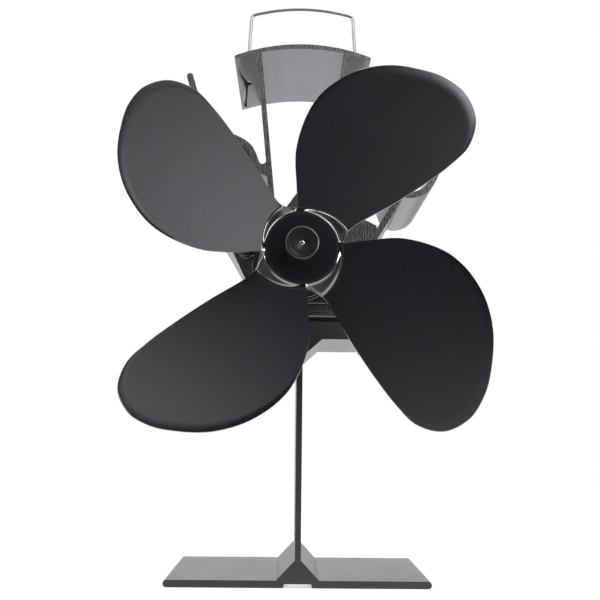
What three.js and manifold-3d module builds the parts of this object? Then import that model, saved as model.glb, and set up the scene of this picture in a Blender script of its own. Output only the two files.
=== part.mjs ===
// Heat-driven stove fan. A thermoelectric module clamped between two aluminium extrusions feeds a small motor,
// which turns a four-bladed impeller. Millimetres, +Z up, the fan faces -Y.
// The profiles are drawn with y = 0 at the front faces of the extrusions; the finished fan is then set with its
// origin on the ground, under the middle of everything it spans.
import * as THREE from 'three';
import { mergeVertices } from 'three/addons/utils/BufferGeometryUtils.js';
import Module from 'manifold-3d';

const wasm = await Module();
wasm.setup();

// General sizes
const DEPTH = 58;
const FIT_GAP = 0.3;
const RUNNING_GAP = 0.05;
const OVERRUN = 1;
const MERGE_GAP = 0.0001;

// Base extrusion: foot plate, gusset, upright web and clamp plate
const FOOT = { width: 107, thickness: 2.9, gussetWidth: 17.2, gussetRise: 7.7 };
const RECESS = { width: 11, depth: 1.5 };
const WEB = { thickness: 2.5, height: 89.2 };
const CLAMP = { halfWidth: 32, thickness: 7.3, bevelHalf: 9.3, bevelRise: 7.2 };

// Thermoelectric module and its pads, from the hot side up
const MODULE = { side: 40, pad: 0.25, ceramic: 0.8, legHeight: 2.1, sealWidth: 1.6, notchHalf: 6 };
const LEGS = { perSide: 6, width: 2.4, pitch: 5.6, tab: 0.4 };

// Heat sink extrusion, heights from the underside of its block
const BLOCK = { footHalf: 32, footThickness: 5, halfWidth: 32.9, height: 41, axisHeight: 18.4 };
const BLOCK_NECK_SHARE = 0.578;
const BLOCK_FLANK_SHARES = [[0.714, 0.349], [0.866, 0.6], [1, 0.788], [0.976, 0.912], [0.854, 0.961]];
const BLOCK_TOP_SHARES = [[0.62, 1.04], [0.49, 1.095], [0.435, 1.17], [0.34, 1.17], [0.3, 1.05], [0.24, 1],
  [0.2, 1.09], [0.05, 1.262]];
const ARM = { thickness: 2.3, rootHalf: 11.4, rootHeight: 37, topHalf: 19.2 };
const ROOF = { thickness: 2.2, endThickness: 1.5, halfWidth: 30, crestHeight: 119.2, sag: 5.8 };
const BRANCH = { thickness: 2.8, rootHeight: 60, reach: 20.4, rise: 17 };
const BRANCH_SHARES = [[0.044, 0], [0.19, 0.059], [0.284, 0.224], [0.363, 0.482], [0.475, 0.706], [0.7, 0.882],
  [0.88, 0.965], [1, 1]];
const CROTCH_SHARES = [[0.01, -0.05], [0.2, 0], [0.25, 0.1], [0.24, 0.28], [0.17, 0.23], [0.11, 0.26], [0.05, 0.36]];
const OUTER_ARM = { thickness: 2.6, rootHalf: 30.5, rootHeight: 30.9, reach: 13, rise: 20.7 };
const OUTER_ARM_SHARES = [[0, 0], [0.1, 0.1], [0.692, 0.705], [0.831, 0.889], [1, 1]];
const CUP = { thickness: 2.8, bottomHalf: 46, bottomHeight: 51.1, reach: 22, rise: 52.5 };
const CUP_SHARES = [[0.145, 1], [0.041, 0.855], [-0.091, 0.728], [-0.227, 0.608], [-0.323, 0.493], [-0.368, 0.37],
  [-0.359, 0.255], [-0.295, 0.149], [-0.205, 0.046], [-0.068, 0.004], [0.082, 0], [0.245, 0.021], [0.368, 0.059],
  [0.464, 0.118], [0.573, 0.213], [0.691, 0.326], [0.782, 0.45], [0.873, 0.57], [0.977, 0.684]];

// Clamp screws, their spring washers and insulating bushes
const CLAMP_SCREW = { half: 28.6, radius: 1.25, headRadius: 2.25, headHeight: 2.2 };
const HEAD_FACE_SHARE = 0.7;
const HEAD_DOME_SHARE = 0.4;
const SPRING_WASHER = { outer: 2.2, thickness: 0.9, slit: 0.6 };
const BUSH = { sleeve: 1.9, flange: 2.8, flangeThickness: 0.9, length: 6.2 };

// Motor: a drawn can pushed into the block's bore
const CAN = { radius: 12.2, wall: 0.6, front: 22, length: 30.8, noseRadius: 3.5, noseLength: 1.8, corner: 1 };
const SHAFT = { radius: 1, rear: 9.4 };
const SLEEVE_BUSH = { radius: 2.2, length: 2.9 };
const END_CAP = { thickness: 3, bossRadius: 3.6, bossLength: 1.6, wall: 0.5 };
const MAGNET = { thickness: 2.3, length: 20, halfAngle: 1.08 };
const CORE = { hubRadius: 3.1, armWidth: 2.6, shoeInner: 7.1, radius: 8.5, length: 12, shoeHalfAngle: 0.88 };
const POLES = 3;
const COIL = { inner: 3.5, outer: 6.2, width: 5.6, overhang: 1.8 };
const COMMUTATOR = { radius: 2.4, length: 4, front: 0.5 };
const BRUSH = { height: 2, depth: 1.6, width: 1.5, leaf: 0.4, tabHalf: 7, tabRear: 12.4 };

// Bezel that holds the motor to the front of the block
const BEZEL = { radius: 20.3, thickness: 1.5, flatDrop: 15, collarRadius: 14.2, collarLength: 8 };
const BEZEL_EAR = { half: 23.2, rise: 6.7, radius: 3.1 };
const EAR_NECK_SHARE = 0.6;
const EAR_ROOT_SHARE = 0.7;
const BEZEL_SCREW = { radius: 1.4, headRadius: 2.75, headHeight: 1.9, length: 8 };

// Impeller: one pressed sheet with a raised centre and four twisted blades
const HUB = { face: 39.5, holeRadius: 3.3, flatRadius: 14.2, coneSlope: 1.15, coneLeast: 0.3, edgeInset: 0.5 };
const BLADE = { tipRadius: 87.6, thickness: 1.2, setBack: 1.3, count: 4, columns: 36, rootRings: 2, bladeRings: 5 };
const CONE_PASSES = 6;
const BLADE_TURN_SHARE = 0.56;
const BLADE_CENTRE_SHARE = 0.594;
const BLADE_RAKE_SHARE = 0.104;
const BLADE_PITCH_SHARE = 0.371;
const BLADE_TWIST_SHARE = 0.189;
const BLADE_HOLLOW_SHARE = 0.137;
const BLADE_DROOP_SHARE = 0.11;
const BLADE_SHARES = [[0.218, -0.1], [0.425, -0.169], [0.594, -0.218], [0.739, -0.25], [0.852, -0.258],
  [0.953, -0.208], [0.994, -0.107], [0.976, 0], [0.93, 0.09], [0.82, 0.226], [0.678, 0.317], [0.499, 0.352],
  [0.307, 0.292], [0.18, 0.183]];
const GAP_SHARES = [[0.121, 0.13], [0.115, 0.147], [0.104, 0.177]];
const HUB_BUSH = { radius: 3, flangeRadius: 6, flangeThickness: 1.5, barrelRadius: 4.4, rear: 9, nose: 5 };
const HUB_CAP = { radius: 6.4, length: 9, corner: 1, pocketLength: 6 };

// Wire handle through the roof's two overhangs
const HANDLE = { wire: 0.75, holeHalf: 25.3, holeRadius: 2.2, legHalf: 26.6, hang: 10.4, toe: 3.5 };
const HANDLE_TOP = { half: 24.3, height: 28.7, corner: 1.9, crown: 3.6 };
const LEG_SHARES = [0.1, 0.3, 0.5, 0.7, 0.9];
const CROWN_SHARES = [0.85, 0.6, 0.3, 0];

// Bimetal strip under the foot, held by a rivet at its rear
const STRIP = { width: 8.8, thickness: 0.5, front: 4, rear: 54, gap: 0.25, rivetInset: 5 };
const RIVET = { radius: 1, headRadius: 2.2, headHeight: 0.45, length: 3.2 };

// Leads from the module up the back and into the bore
const LEAD = { radius: 0.65, stand: 3, lowRise: 3.9, highDrop: 4.5 };
const LEAD_SLEEVE = { inner: 1.25, outer: 1.6, length: 6.5, lap: 1.5 };

// Levels that follow from the sizes above
const FOOT_TOP = FOOT.thickness;
const WEB_TOP = FOOT_TOP + WEB.height;
const PLATE_BOTTOM = WEB_TOP + CLAMP.bevelRise;
const PLATE_TOP = PLATE_BOTTOM + CLAMP.thickness;
const HOT_PLATE = PLATE_TOP + MODULE.pad;
const LEG_BOTTOM = HOT_PLATE + MODULE.ceramic;
const LEG_TOP = LEG_BOTTOM + MODULE.legHeight;
const COLD_PAD = LEG_TOP + MODULE.ceramic;
const BLOCK_BOTTOM = COLD_PAD + MODULE.pad;
const AXIS_Z = BLOCK_BOTTOM + BLOCK.axisHeight;
const MIDDLE = DEPTH / 2;
const BORE_RADIUS = CAN.radius + FIT_GAP;
const CAN_REAR = CAN.length - CAN.front;
const CAN_INNER = CAN.radius - CAN.wall;
const RUNNING_RADIUS = SHAFT.radius + RUNNING_GAP;
const ROOF_CREST = BLOCK_BOTTOM + ROOF.crestHeight;

const EXTRUSION = { color: 0x2b2b2e, roughness: 0.42, metalness: 0.7 };
const BLADE_PAINT = { color: 0x1b1b1c, roughness: 0.6, metalness: 0.1 };
const CAP_PAINT = { color: 0x141415, roughness: 0.35, metalness: 0.1 };
const STAINLESS = { color: 0xc9cacc, roughness: 0.25, metalness: 1 };
const ZINC = { color: 0xa9abad, roughness: 0.4, metalness: 0.9 };
const BRASS = { color: 0xb5924c, roughness: 0.35, metalness: 1 };
const COPPER = { color: 0xb4693a, roughness: 0.4, metalness: 1 };
const CERAMIC = { color: 0xe9e8e2, roughness: 0.7, metalness: 0 };
const GRAPHITE = { color: 0x3a3b3d, roughness: 0.7, metalness: 0.2 };
const SEALANT = { color: 0x19191a, roughness: 0.8, metalness: 0 };
const PLASTIC = { color: 0x1f2022, roughness: 0.55, metalness: 0 };
const FERRITE = { color: 0x2e2c2b, roughness: 0.8, metalness: 0.1 };
const LAMINATION = { color: 0x6f7276, roughness: 0.5, metalness: 0.8 };
const RED_WIRE = { color: 0xa81f1c, roughness: 0.5, metalness: 0 };
const BLACK_WIRE = { color: 0x161616, roughness: 0.5, metalness: 0 };

/** Six times the volume that a list of triangles encloses. */
function signedVolume(positions, corners) {
  const a = new THREE.Vector3();
  const b = new THREE.Vector3();
  const c = new THREE.Vector3();
  let sum = 0;
  for (let i = 0; i < corners.length; i += 3) {
    a.fromArray(positions, corners[i] * 3);
    b.fromArray(positions, corners[i + 1] * 3);
    c.fromArray(positions, corners[i + 2] * 3);
    sum += a.dot(b.cross(c));
  }
  return sum;
}

/** A closed three.js geometry as a solid, with its faces turned outwards. */
function solidOf(geometry) {
  const bare = geometry.clone();
  bare.deleteAttribute('normal');
  bare.deleteAttribute('uv');
  const merged = mergeVertices(bare, MERGE_GAP);
  const all = merged.index.array;
  const kept = [];
  for (let i = 0; i < all.length; i += 3) {
    const [a, b, c] = [all[i], all[i + 1], all[i + 2]];
    if (a !== b && b !== c && c !== a) kept.push(a, b, c);
  }
  const vertProperties = Float32Array.from(merged.attributes.position.array);
  if (signedVolume(vertProperties, kept) < 0) kept.reverse();
  return new wasm.Manifold(new wasm.Mesh({ numProp: 3, vertProperties, triVerts: Uint32Array.from(kept) }));
}

/** Joins a list of solids. */
function join(solids) {
  return solids.reduce((sum, next) => sum.add(next));
}

/** Cuts a list of solids out of one. */
function cut(solid, tools) {
  return tools.reduce((rest, tool) => rest.subtract(tool), solid);
}

/** A named mesh of a solid. */
function piece(name, solid, finish) {
  const { vertProperties, triVerts } = solid.getMesh();
  const geometry = new THREE.BufferGeometry();
  geometry.setAttribute('position', new THREE.BufferAttribute(vertProperties, 3));
  geometry.setIndex(new THREE.BufferAttribute(triVerts, 1));
  geometry.computeVertexNormals();
  const mesh = new THREE.Mesh(geometry, new THREE.MeshStandardMaterial(finish));
  mesh.name = name;
  return mesh;
}

/** A box between two corners. */
function slab([x0, y0, z0], [x1, y1, z1]) {
  const geometry = new THREE.BoxGeometry();
  const at = geometry.attributes.position;
  for (let i = 0; i < at.count; i += 1) {
    at.setXYZ(i, at.getX(i) < 0 ? x0 : x1, at.getY(i) < 0 ? y0 : y1, at.getZ(i) < 0 ? z0 : z1);
  }
  return solidOf(geometry);
}

/** A flat outline in X and Z, drawn out along Y from y0 to y1. */
function prism(points, y0, y1) {
  const shape = new THREE.Shape(points.map(([x, z]) => new THREE.Vector2(x, z)));
  const geometry = new THREE.ExtrudeGeometry(shape, { depth: y1 - y0, bevelEnabled: false });
  geometry.rotateX(Math.PI / 2);
  geometry.translate(0, y1, 0);
  return solidOf(geometry);
}

/** A piece turned about the Y axis from [radius, y] points, set at x and z. */
function turned(points, x, z, segments = 32) {
  const profile = points.map(([radius, y]) => new THREE.Vector2(radius, y));
  const geometry = new THREE.LatheGeometry(profile, segments);
  geometry.translate(x, 0, z);
  return solidOf(geometry);
}

/** A piece turned about a vertical axis from [radius, z] points, set at x and y. */
function turnedUpright(points, x, y, segments = 32) {
  const profile = points.map(([radius, z]) => new THREE.Vector2(radius, z));
  const geometry = new THREE.LatheGeometry(profile, segments);
  geometry.rotateX(Math.PI / 2);
  geometry.translate(x, y, 0);
  return solidOf(geometry);
}

/** [radius, along] points of a plain round bar. */
function bar(radius, from, to) {
  return [[0, from], [radius, from], [radius, to], [0, to]];
}

/** [radius, along] points of a ring, which closes on itself. */
function ring(inner, outer, from, to) {
  return [[inner, from], [outer, from], [outer, to], [inner, to], [inner, from]];
}

/** Points on a circle from one angle to another, both ends included. */
function arc(x, z, radius, from, to, steps) {
  return Array.from({ length: steps + 1 }, (_, i) => {
    const angle = from + ((to - from) * i) / steps;
    return [x + radius * Math.cos(angle), z + radius * Math.sin(angle)];
  });
}

/** Right-hand points with their mirror images, as one closed outline. */
function mirrored(points) {
  return [...points, ...points.map(([x, z]) => [-x, z]).reverse()];
}

/** Points given as shares of a width and a height, set out from a corner; side is 1 or -1. */
function placed(shares, [x, z], width, height, side = 1) {
  return shares.map(([u, v]) => [side * (x + u * width), z + v * height]);
}

/** The outline of a fin of even thickness along a smooth line, its far end round and its near end round too. */
function fin(points, thickness, steps) {
  const line = new THREE.SplineCurve(points.map(([x, z]) => new THREE.Vector2(x, z)));
  const half = thickness / 2;
  const near = [];
  const far = [];
  for (let i = 0; i <= steps; i += 1) {
    const at = line.getPointAt(i / steps);
    const along = line.getTangentAt(i / steps);
    near.push([at.x + along.y * half, at.y - along.x * half]);
    far.push([at.x - along.y * half, at.y + along.x * half]);
  }
  const end = line.getPointAt(1);
  const start = line.getPointAt(0);
  const endAngle = line.getTangentAt(1).angle();
  const startAngle = line.getTangentAt(0).angle();
  const quarter = Math.PI / 2;
  const endCap = arc(end.x, end.y, half, endAngle - quarter, endAngle + quarter, 6).slice(1, -1);
  const startCap = arc(start.x, start.y, half, startAngle + quarter, startAngle + 3 * quarter, 6).slice(1, -1);
  return [...near, ...endCap, ...far.reverse(), ...startCap];
}

/** A round rod along a curve. */
function rod(curve, radius, steps, sides) {
  const section = new THREE.Shape(arc(0, 0, radius, 0, 2 * Math.PI, sides).slice(0, -1)
    .map(([x, y]) => new THREE.Vector2(x, y)));
  return solidOf(new THREE.ExtrudeGeometry(section, { steps, extrudePath: curve, bevelEnabled: false }));
}

/** Foot plate with round ends and a centre recess, gusset, web and clamp plate in one extrusion. */
function baseExtrusion() {
  const endRadius = FOOT.thickness / 2;
  const endX = FOOT.width / 2 - endRadius;
  const quarter = Math.PI / 2;
  const outline = mirrored([
    [RECESS.width / 2, RECESS.depth],
    [RECESS.width / 2, 0],
    ...arc(endX, endRadius, endRadius, -quarter, quarter, 8),
    [FOOT.gussetWidth / 2, FOOT_TOP],
    [WEB.thickness / 2, FOOT_TOP + FOOT.gussetRise],
    [WEB.thickness / 2, WEB_TOP],
    [CLAMP.bevelHalf, PLATE_BOTTOM],
    [CLAMP.halfWidth, PLATE_BOTTOM],
    [CLAMP.halfWidth, PLATE_TOP],
  ]);
  const bushHole = BUSH.sleeve + FIT_GAP;
  const screwHoles = [1, -1].map((side) => turnedUpright(
    bar(bushHole, PLATE_BOTTOM - OVERRUN, PLATE_TOP + OVERRUN), side * CLAMP_SCREW.half, MIDDLE, 24));
  const rivetTop = RECESS.depth + RIVET.length + FIT_GAP;
  const rivetHole = turnedUpright(
    bar(RIVET.radius + FIT_GAP, -OVERRUN, rivetTop), 0, STRIP.rear - STRIP.rivetInset, 16);
  return cut(prism(outline, 0, DEPTH), [...screwHoles, rivetHole]);
}

/** The outline of the V-shaped motor block, without its fins. */
function blockOutline() {
  const corner = [0, BLOCK_BOTTOM];
  return mirrored([
    [BLOCK.footHalf, BLOCK_BOTTOM],
    [BLOCK.footHalf, BLOCK_BOTTOM + BLOCK.footThickness],
    [BLOCK.halfWidth * BLOCK_NECK_SHARE, BLOCK_BOTTOM + BLOCK.footThickness],
    ...placed(BLOCK_FLANK_SHARES, corner, BLOCK.halfWidth, BLOCK.height),
    ...placed(BLOCK_TOP_SHARES, corner, BLOCK.halfWidth, BLOCK.height),
  ]);
}

/** Radius of an arch that spans twice a half width and sags by an amount at its ends. */
function archRadius(half, sag) {
  return (half ** 2 + sag ** 2) / (2 * sag);
}

/** Points from right to left along an arch with its crest at a level. */
function arch(crest, half, sag, steps) {
  const radius = archRadius(half, sag);
  const halfAngle = Math.asin(half / radius);
  const quarter = Math.PI / 2;
  return arc(0, crest - radius, radius, quarter - halfAngle, quarter + halfAngle, steps);
}

/** The arched roof's outline, thinner towards its ends. */
function roofOutline() {
  const underSag = ROOF.sag + ROOF.endThickness - ROOF.thickness;
  return [
    ...arch(ROOF_CREST, ROOF.halfWidth, ROOF.sag, 20),
    ...arch(ROOF_CREST - ROOF.thickness, ROOF.halfWidth, underSag, 20).reverse(),
  ];
}

/** Level of the roof's underside at a distance from the middle. */
function roofUnderAt(x) {
  const radius = archRadius(ROOF.halfWidth, ROOF.sag + ROOF.endThickness - ROOF.thickness);
  return ROOF_CREST - ROOF.thickness - radius + Math.sqrt(radius ** 2 - x ** 2);
}

/** How far from the middle an upright arm's line lies at a height above the block's underside. */
function armHalfAt(height) {
  const share = (height - ARM.rootHeight) / (ROOF.crestHeight - ARM.rootHeight);
  return ARM.rootHalf + (ARM.topHalf - ARM.rootHalf) * share;
}

/** The fins on one side: upright arm, branch with its filled crotch, outer arm and forked cup. */
function finsOnSide(side) {
  const at = (x, height) => [side * x, BLOCK_BOTTOM + height];
  const armTop = [side * ARM.topHalf, roofUnderAt(ARM.topHalf)];
  const armRoot = at(ARM.rootHalf, ARM.rootHeight);
  const armMiddle = [(armRoot[0] + armTop[0]) / 2, (armRoot[1] + armTop[1]) / 2];
  const branchCorner = [armHalfAt(BRANCH.rootHeight), BLOCK_BOTTOM + BRANCH.rootHeight];
  const branch = placed(BRANCH_SHARES, branchCorner, BRANCH.reach, BRANCH.rise, side);
  const crotch = placed(CROTCH_SHARES, branchCorner, BRANCH.reach, BRANCH.rise, side);
  const armCorner = [OUTER_ARM.rootHalf, BLOCK_BOTTOM + OUTER_ARM.rootHeight];
  const outerArm = placed(OUTER_ARM_SHARES, armCorner, OUTER_ARM.reach, OUTER_ARM.rise, side);
  const cupCorner = [CUP.bottomHalf, BLOCK_BOTTOM + CUP.bottomHeight];
  const cup = placed(CUP_SHARES, cupCorner, CUP.reach, CUP.rise, side);
  return join([
    prism(fin([armRoot, armMiddle, armTop], ARM.thickness, 2), 0, DEPTH),
    prism(fin(branch, BRANCH.thickness, 16), 0, DEPTH),
    prism(crotch, 0, DEPTH),
    prism(fin(outerArm, OUTER_ARM.thickness, 8), 0, DEPTH),
    prism(fin(cup, CUP.thickness, 48), 0, DEPTH),
  ]);
}

/** Motor block, arms, branches, cups and roof in one extrusion, with its bore and holes. */
function heatSink() {
  const body = join([
    prism(blockOutline(), 0, DEPTH),
    finsOnSide(1),
    finsOnSide(-1),
    prism(roofOutline(), 0, DEPTH),
  ]);
  const bore = turned(bar(BORE_RADIUS, -OVERRUN, DEPTH + OVERRUN), 0, AXIS_Z, 48);
  const handleHoles = [1, -1].map((side) => turnedUpright(
    bar(HANDLE.holeRadius, roofUnderAt(ROOF.halfWidth) - OVERRUN, ROOF_CREST + OVERRUN),
    side * HANDLE.holeHalf, MIDDLE, 20));
  const bezelHoles = [1, -1].map((side) => turned(
    bar(BEZEL_SCREW.radius + FIT_GAP, -OVERRUN, BEZEL_SCREW.length + OVERRUN),
    side * BEZEL_EAR.half, AXIS_Z + BEZEL_EAR.rise, 16));
  const clampHoles = [1, -1].map((side) => turnedUpright(
    bar(CLAMP_SCREW.radius + FIT_GAP, BLOCK_BOTTOM - OVERRUN, BLOCK_BOTTOM + BLOCK.footThickness + OVERRUN),
    side * CLAMP_SCREW.half, MIDDLE, 16));
  return cut(body, [bore, ...handleHoles, ...bezelHoles, ...clampHoles]);
}

/** A square plate of the module between two levels. */
function modulePlate(bottom, top) {
  const half = MODULE.side / 2;
  return slab([-half, MIDDLE - half, bottom], [half, MIDDLE + half, top]);
}

/** The black edge seal, with two notches at the rear for the leads. */
function moduleSeal() {
  const inner = MODULE.side / 2 - MODULE.sealWidth;
  const rear = MIDDLE + MODULE.side / 2;
  const leadZ = (LEG_BOTTOM + LEG_TOP) / 2;
  const core = slab([-inner, MIDDLE - inner, LEG_BOTTOM - OVERRUN], [inner, MIDDLE + inner, LEG_TOP + OVERRUN]);
  const notches = [1, -1].map((side) => turned(
    bar(LEAD.radius + FIT_GAP / 2, rear - MODULE.sealWidth - OVERRUN, rear + OVERRUN),
    side * MODULE.notchHalf, leadZ, 12));
  return cut(modulePlate(LEG_BOTTOM, LEG_TOP), [core, ...notches]);
}

/** The thermoelectric legs, standing on the copper tabs that join them. */
function moduleLegs() {
  const reach = ((LEGS.perSide - 1) * LEGS.pitch + LEGS.width) / 2;
  const tabs = slab([-reach, MIDDLE - reach, LEG_BOTTOM], [reach, MIDDLE + reach, LEG_BOTTOM + LEGS.tab]);
  const legs = [];
  for (let i = 0; i < LEGS.perSide; i += 1) {
    for (let j = 0; j < LEGS.perSide; j += 1) {
      const x = i * LEGS.pitch - reach;
      const y = MIDDLE + j * LEGS.pitch - reach;
      legs.push(slab([x, y, LEG_BOTTOM], [x + LEGS.width, y + LEGS.width, LEG_TOP]));
    }
  }
  return join([tabs, ...legs]);
}

/** The thermoelectric module with its two pads. */
function thermoelectricModule() {
  return [
    piece('hot_pad', modulePlate(PLATE_TOP, HOT_PLATE), GRAPHITE),
    piece('module_hot_plate', modulePlate(HOT_PLATE, LEG_BOTTOM), CERAMIC),
    piece('module_seal', moduleSeal(), SEALANT),
    piece('module_legs', moduleLegs(), COPPER),
    piece('module_cold_plate', modulePlate(LEG_TOP, COLD_PAD), CERAMIC),
    piece('cold_pad', modulePlate(COLD_PAD, BLOCK_BOTTOM), GRAPHITE),
  ];
}

/** One clamp screw with its insulating bush and spring washer, head down. */
function clampSet(side, label) {
  const x = side * CLAMP_SCREW.half;
  const flangeBottom = PLATE_BOTTOM - BUSH.flangeThickness;
  const washerBottom = flangeBottom - SPRING_WASHER.thickness;
  const headBottom = washerBottom - CLAMP_SCREW.headHeight;
  const clear = CLAMP_SCREW.radius + FIT_GAP;
  const bush = [[clear, flangeBottom], [BUSH.flange, flangeBottom], [BUSH.flange, PLATE_BOTTOM],
    [BUSH.sleeve, PLATE_BOTTOM], [BUSH.sleeve, PLATE_BOTTOM + BUSH.length], [clear, PLATE_BOTTOM + BUSH.length],
    [clear, flangeBottom]];
  const headEdge = headBottom + CLAMP_SCREW.headHeight * HEAD_DOME_SHARE;
  const screwTop = BLOCK_BOTTOM + BLOCK.footThickness;
  const screw = [[0, headBottom], [CLAMP_SCREW.headRadius * HEAD_FACE_SHARE, headBottom],
    [CLAMP_SCREW.headRadius, headEdge], [CLAMP_SCREW.headRadius, washerBottom],
    [CLAMP_SCREW.radius, washerBottom], [CLAMP_SCREW.radius, screwTop], [0, screwTop]];
  const slit = slab([x, MIDDLE - SPRING_WASHER.slit / 2, washerBottom - OVERRUN],
    [x + side * (SPRING_WASHER.outer + OVERRUN), MIDDLE + SPRING_WASHER.slit / 2, flangeBottom + OVERRUN]);
  const washer = turnedUpright(ring(clear, SPRING_WASHER.outer, washerBottom, flangeBottom), x, MIDDLE, 24);
  return [
    piece(`clamp_screw_${label}`, turnedUpright(screw, x, MIDDLE, 24), ZINC),
    piece(`spring_washer_${label}`, cut(washer, [slit]), ZINC),
    piece(`insulating_bush_${label}`, turnedUpright(bush, x, MIDDLE, 24), PLASTIC),
  ];
}

/** The drawn motor can with the nose that holds its front bush. */
function motorCan() {
  const front = -CAN.front;
  const noseFront = front - CAN.noseLength;
  const seat = SLEEVE_BUSH.radius + FIT_GAP;
  return turned([
    [seat, noseFront], [CAN.noseRadius, noseFront], [CAN.noseRadius, front],
    ...arc(CAN.radius - CAN.corner, front + CAN.corner, CAN.corner, -Math.PI / 2, 0, 4),
    [CAN.radius, CAN_REAR], [CAN_INNER, CAN_REAR],
    [CAN_INNER, front + CAN.wall], [seat, front + CAN.wall], [seat, noseFront],
  ], 0, AXIS_Z, 48);
}

/** The plastic end cap with the rear bush's seat and a slot for each terminal. */
function motorEndCap() {
  const front = CAN_REAR - END_CAP.thickness;
  const bossRear = CAN_REAR + END_CAP.bossLength;
  const seat = SLEEVE_BUSH.radius + FIT_GAP;
  const seatRear = bossRear - END_CAP.wall;
  const radius = CAN_INNER - FIT_GAP;
  const cap = turned([[0, bossRear], [END_CAP.bossRadius, bossRear], [END_CAP.bossRadius, CAN_REAR],
    [radius, CAN_REAR], [radius, front], [seat, front], [seat, seatRear], [0, seatRear]], 0, AXIS_Z, 40);
  const slots = [1, -1].map((side) => slab(
    [side * BRUSH.tabHalf - BRUSH.leaf / 2 - FIT_GAP, front - OVERRUN, AXIS_Z - BRUSH.height / 2 - FIT_GAP],
    [side * BRUSH.tabHalf + BRUSH.leaf / 2 + FIT_GAP, CAN_REAR + OVERRUN, AXIS_Z + BRUSH.height / 2 + FIT_GAP]));
  return cut(cap, slots);
}

/** A sintered bush round the shaft, from one place along it to another. */
function sleeveBush(front) {
  return turned(ring(RUNNING_RADIUS, SLEEVE_BUSH.radius, front, front + SLEEVE_BUSH.length), 0, AXIS_Z, 24);
}

/** One arc magnet inside the can; side is 1 for the right. */
function magnet(side) {
  const outer = CAN_INNER - FIT_GAP;
  const inner = outer - MAGNET.thickness;
  const middle = side > 0 ? 0 : Math.PI;
  const front = -CAN.front + CAN.wall + MAGNET.thickness;
  return prism([
    ...arc(0, AXIS_Z, outer, middle - MAGNET.halfAngle, middle + MAGNET.halfAngle, 14),
    ...arc(0, AXIS_Z, inner, middle + MAGNET.halfAngle, middle - MAGNET.halfAngle, 14),
  ], front, front + MAGNET.length);
}

/** Where the armature core starts and ends along the shaft. */
function coreSpan() {
  const middle = -CAN.front + CAN.wall + MAGNET.thickness + MAGNET.length / 2;
  return [middle - CORE.length / 2, middle + CORE.length / 2];
}

/** A solid turned about the motor's axis by an angle, as seen from the front. */
function aboutAxis(solid, angle) {
  const degrees = THREE.MathUtils.radToDeg(angle);
  return solid.translate(0, 0, -AXIS_Z).rotate(0, -degrees, 0).translate(0, 0, AXIS_Z);
}

/** The angles at which the armature's poles stand. */
function poleAngles() {
  return Array.from({ length: POLES }, (_, i) => Math.PI / 2 + (2 * Math.PI * i) / POLES);
}

/** The laminated three-pole core. */
function armatureCore() {
  const [front, rear] = coreSpan();
  const hub = prism(arc(0, AXIS_Z, CORE.hubRadius, 0, 2 * Math.PI, 24).slice(0, -1), front, rear);
  const shoeMiddle = (CORE.shoeInner + CORE.radius) / 2;
  const arm = slab([0, front, AXIS_Z - CORE.armWidth / 2], [shoeMiddle, rear, AXIS_Z + CORE.armWidth / 2]);
  const shoe = prism([
    ...arc(0, AXIS_Z, CORE.radius, -CORE.shoeHalfAngle, CORE.shoeHalfAngle, 10),
    ...arc(0, AXIS_Z, CORE.shoeInner, CORE.shoeHalfAngle, -CORE.shoeHalfAngle, 10),
  ], front, rear);
  const pole = join([arm, shoe]);
  const core = join([hub, ...poleAngles().map((angle) => aboutAxis(pole, angle))]);
  return cut(core, [turned(bar(RUNNING_RADIUS, front - OVERRUN, rear + OVERRUN), 0, AXIS_Z, 24)]);
}

/** One winding round a pole's arm. */
function winding(angle) {
  const [front, rear] = coreSpan();
  const outer = slab([COIL.inner, front - COIL.overhang, AXIS_Z - COIL.width / 2],
    [COIL.outer, rear + COIL.overhang, AXIS_Z + COIL.width / 2]);
  const holeHalf = CORE.armWidth / 2 + FIT_GAP;
  const hole = slab([COIL.inner - OVERRUN, front - FIT_GAP, AXIS_Z - holeHalf],
    [COIL.outer + OVERRUN, rear + FIT_GAP, AXIS_Z + holeHalf]);
  return aboutAxis(cut(outer, [hole]), angle);
}

/** The commutator, split by one slit for each pole. */
function commutator() {
  const rear = COMMUTATOR.front + COMMUTATOR.length;
  const drum = turned(ring(RUNNING_RADIUS, COMMUTATOR.radius, COMMUTATOR.front, rear), 0, AXIS_Z, 24);
  const slits = poleAngles().map((angle) => aboutAxis(slab(
    [COMMUTATOR.radius - FIT_GAP, COMMUTATOR.front - OVERRUN, AXIS_Z - FIT_GAP / 2],
    [COMMUTATOR.radius + OVERRUN, rear + OVERRUN, AXIS_Z + FIT_GAP / 2]), angle));
  return cut(drum, slits);
}

/** A brush with its leaf and the terminal that passes through the end cap; side is 1 for the right. */
function brush(side) {
  const inner = COMMUTATOR.radius + FIT_GAP;
  const middle = COMMUTATOR.front + COMMUTATOR.length / 2;
  const leafFront = middle + BRUSH.depth / 2 - BRUSH.leaf;
  const tabInner = BRUSH.tabHalf - BRUSH.leaf / 2;
  const tabOuter = BRUSH.tabHalf + BRUSH.leaf / 2;
  const low = AXIS_Z - BRUSH.height / 2;
  const high = AXIS_Z + BRUSH.height / 2;
  const block = slab([side * inner, middle - BRUSH.depth / 2, low],
    [side * (inner + BRUSH.width), middle + BRUSH.depth / 2, high]);
  const leaf = slab([side * inner, leafFront, low], [side * tabOuter, leafFront + BRUSH.leaf, high]);
  const tab = slab([side * tabInner, leafFront, low], [side * tabOuter, BRUSH.tabRear, high]);
  return join([block, leaf, tab]);
}

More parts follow.
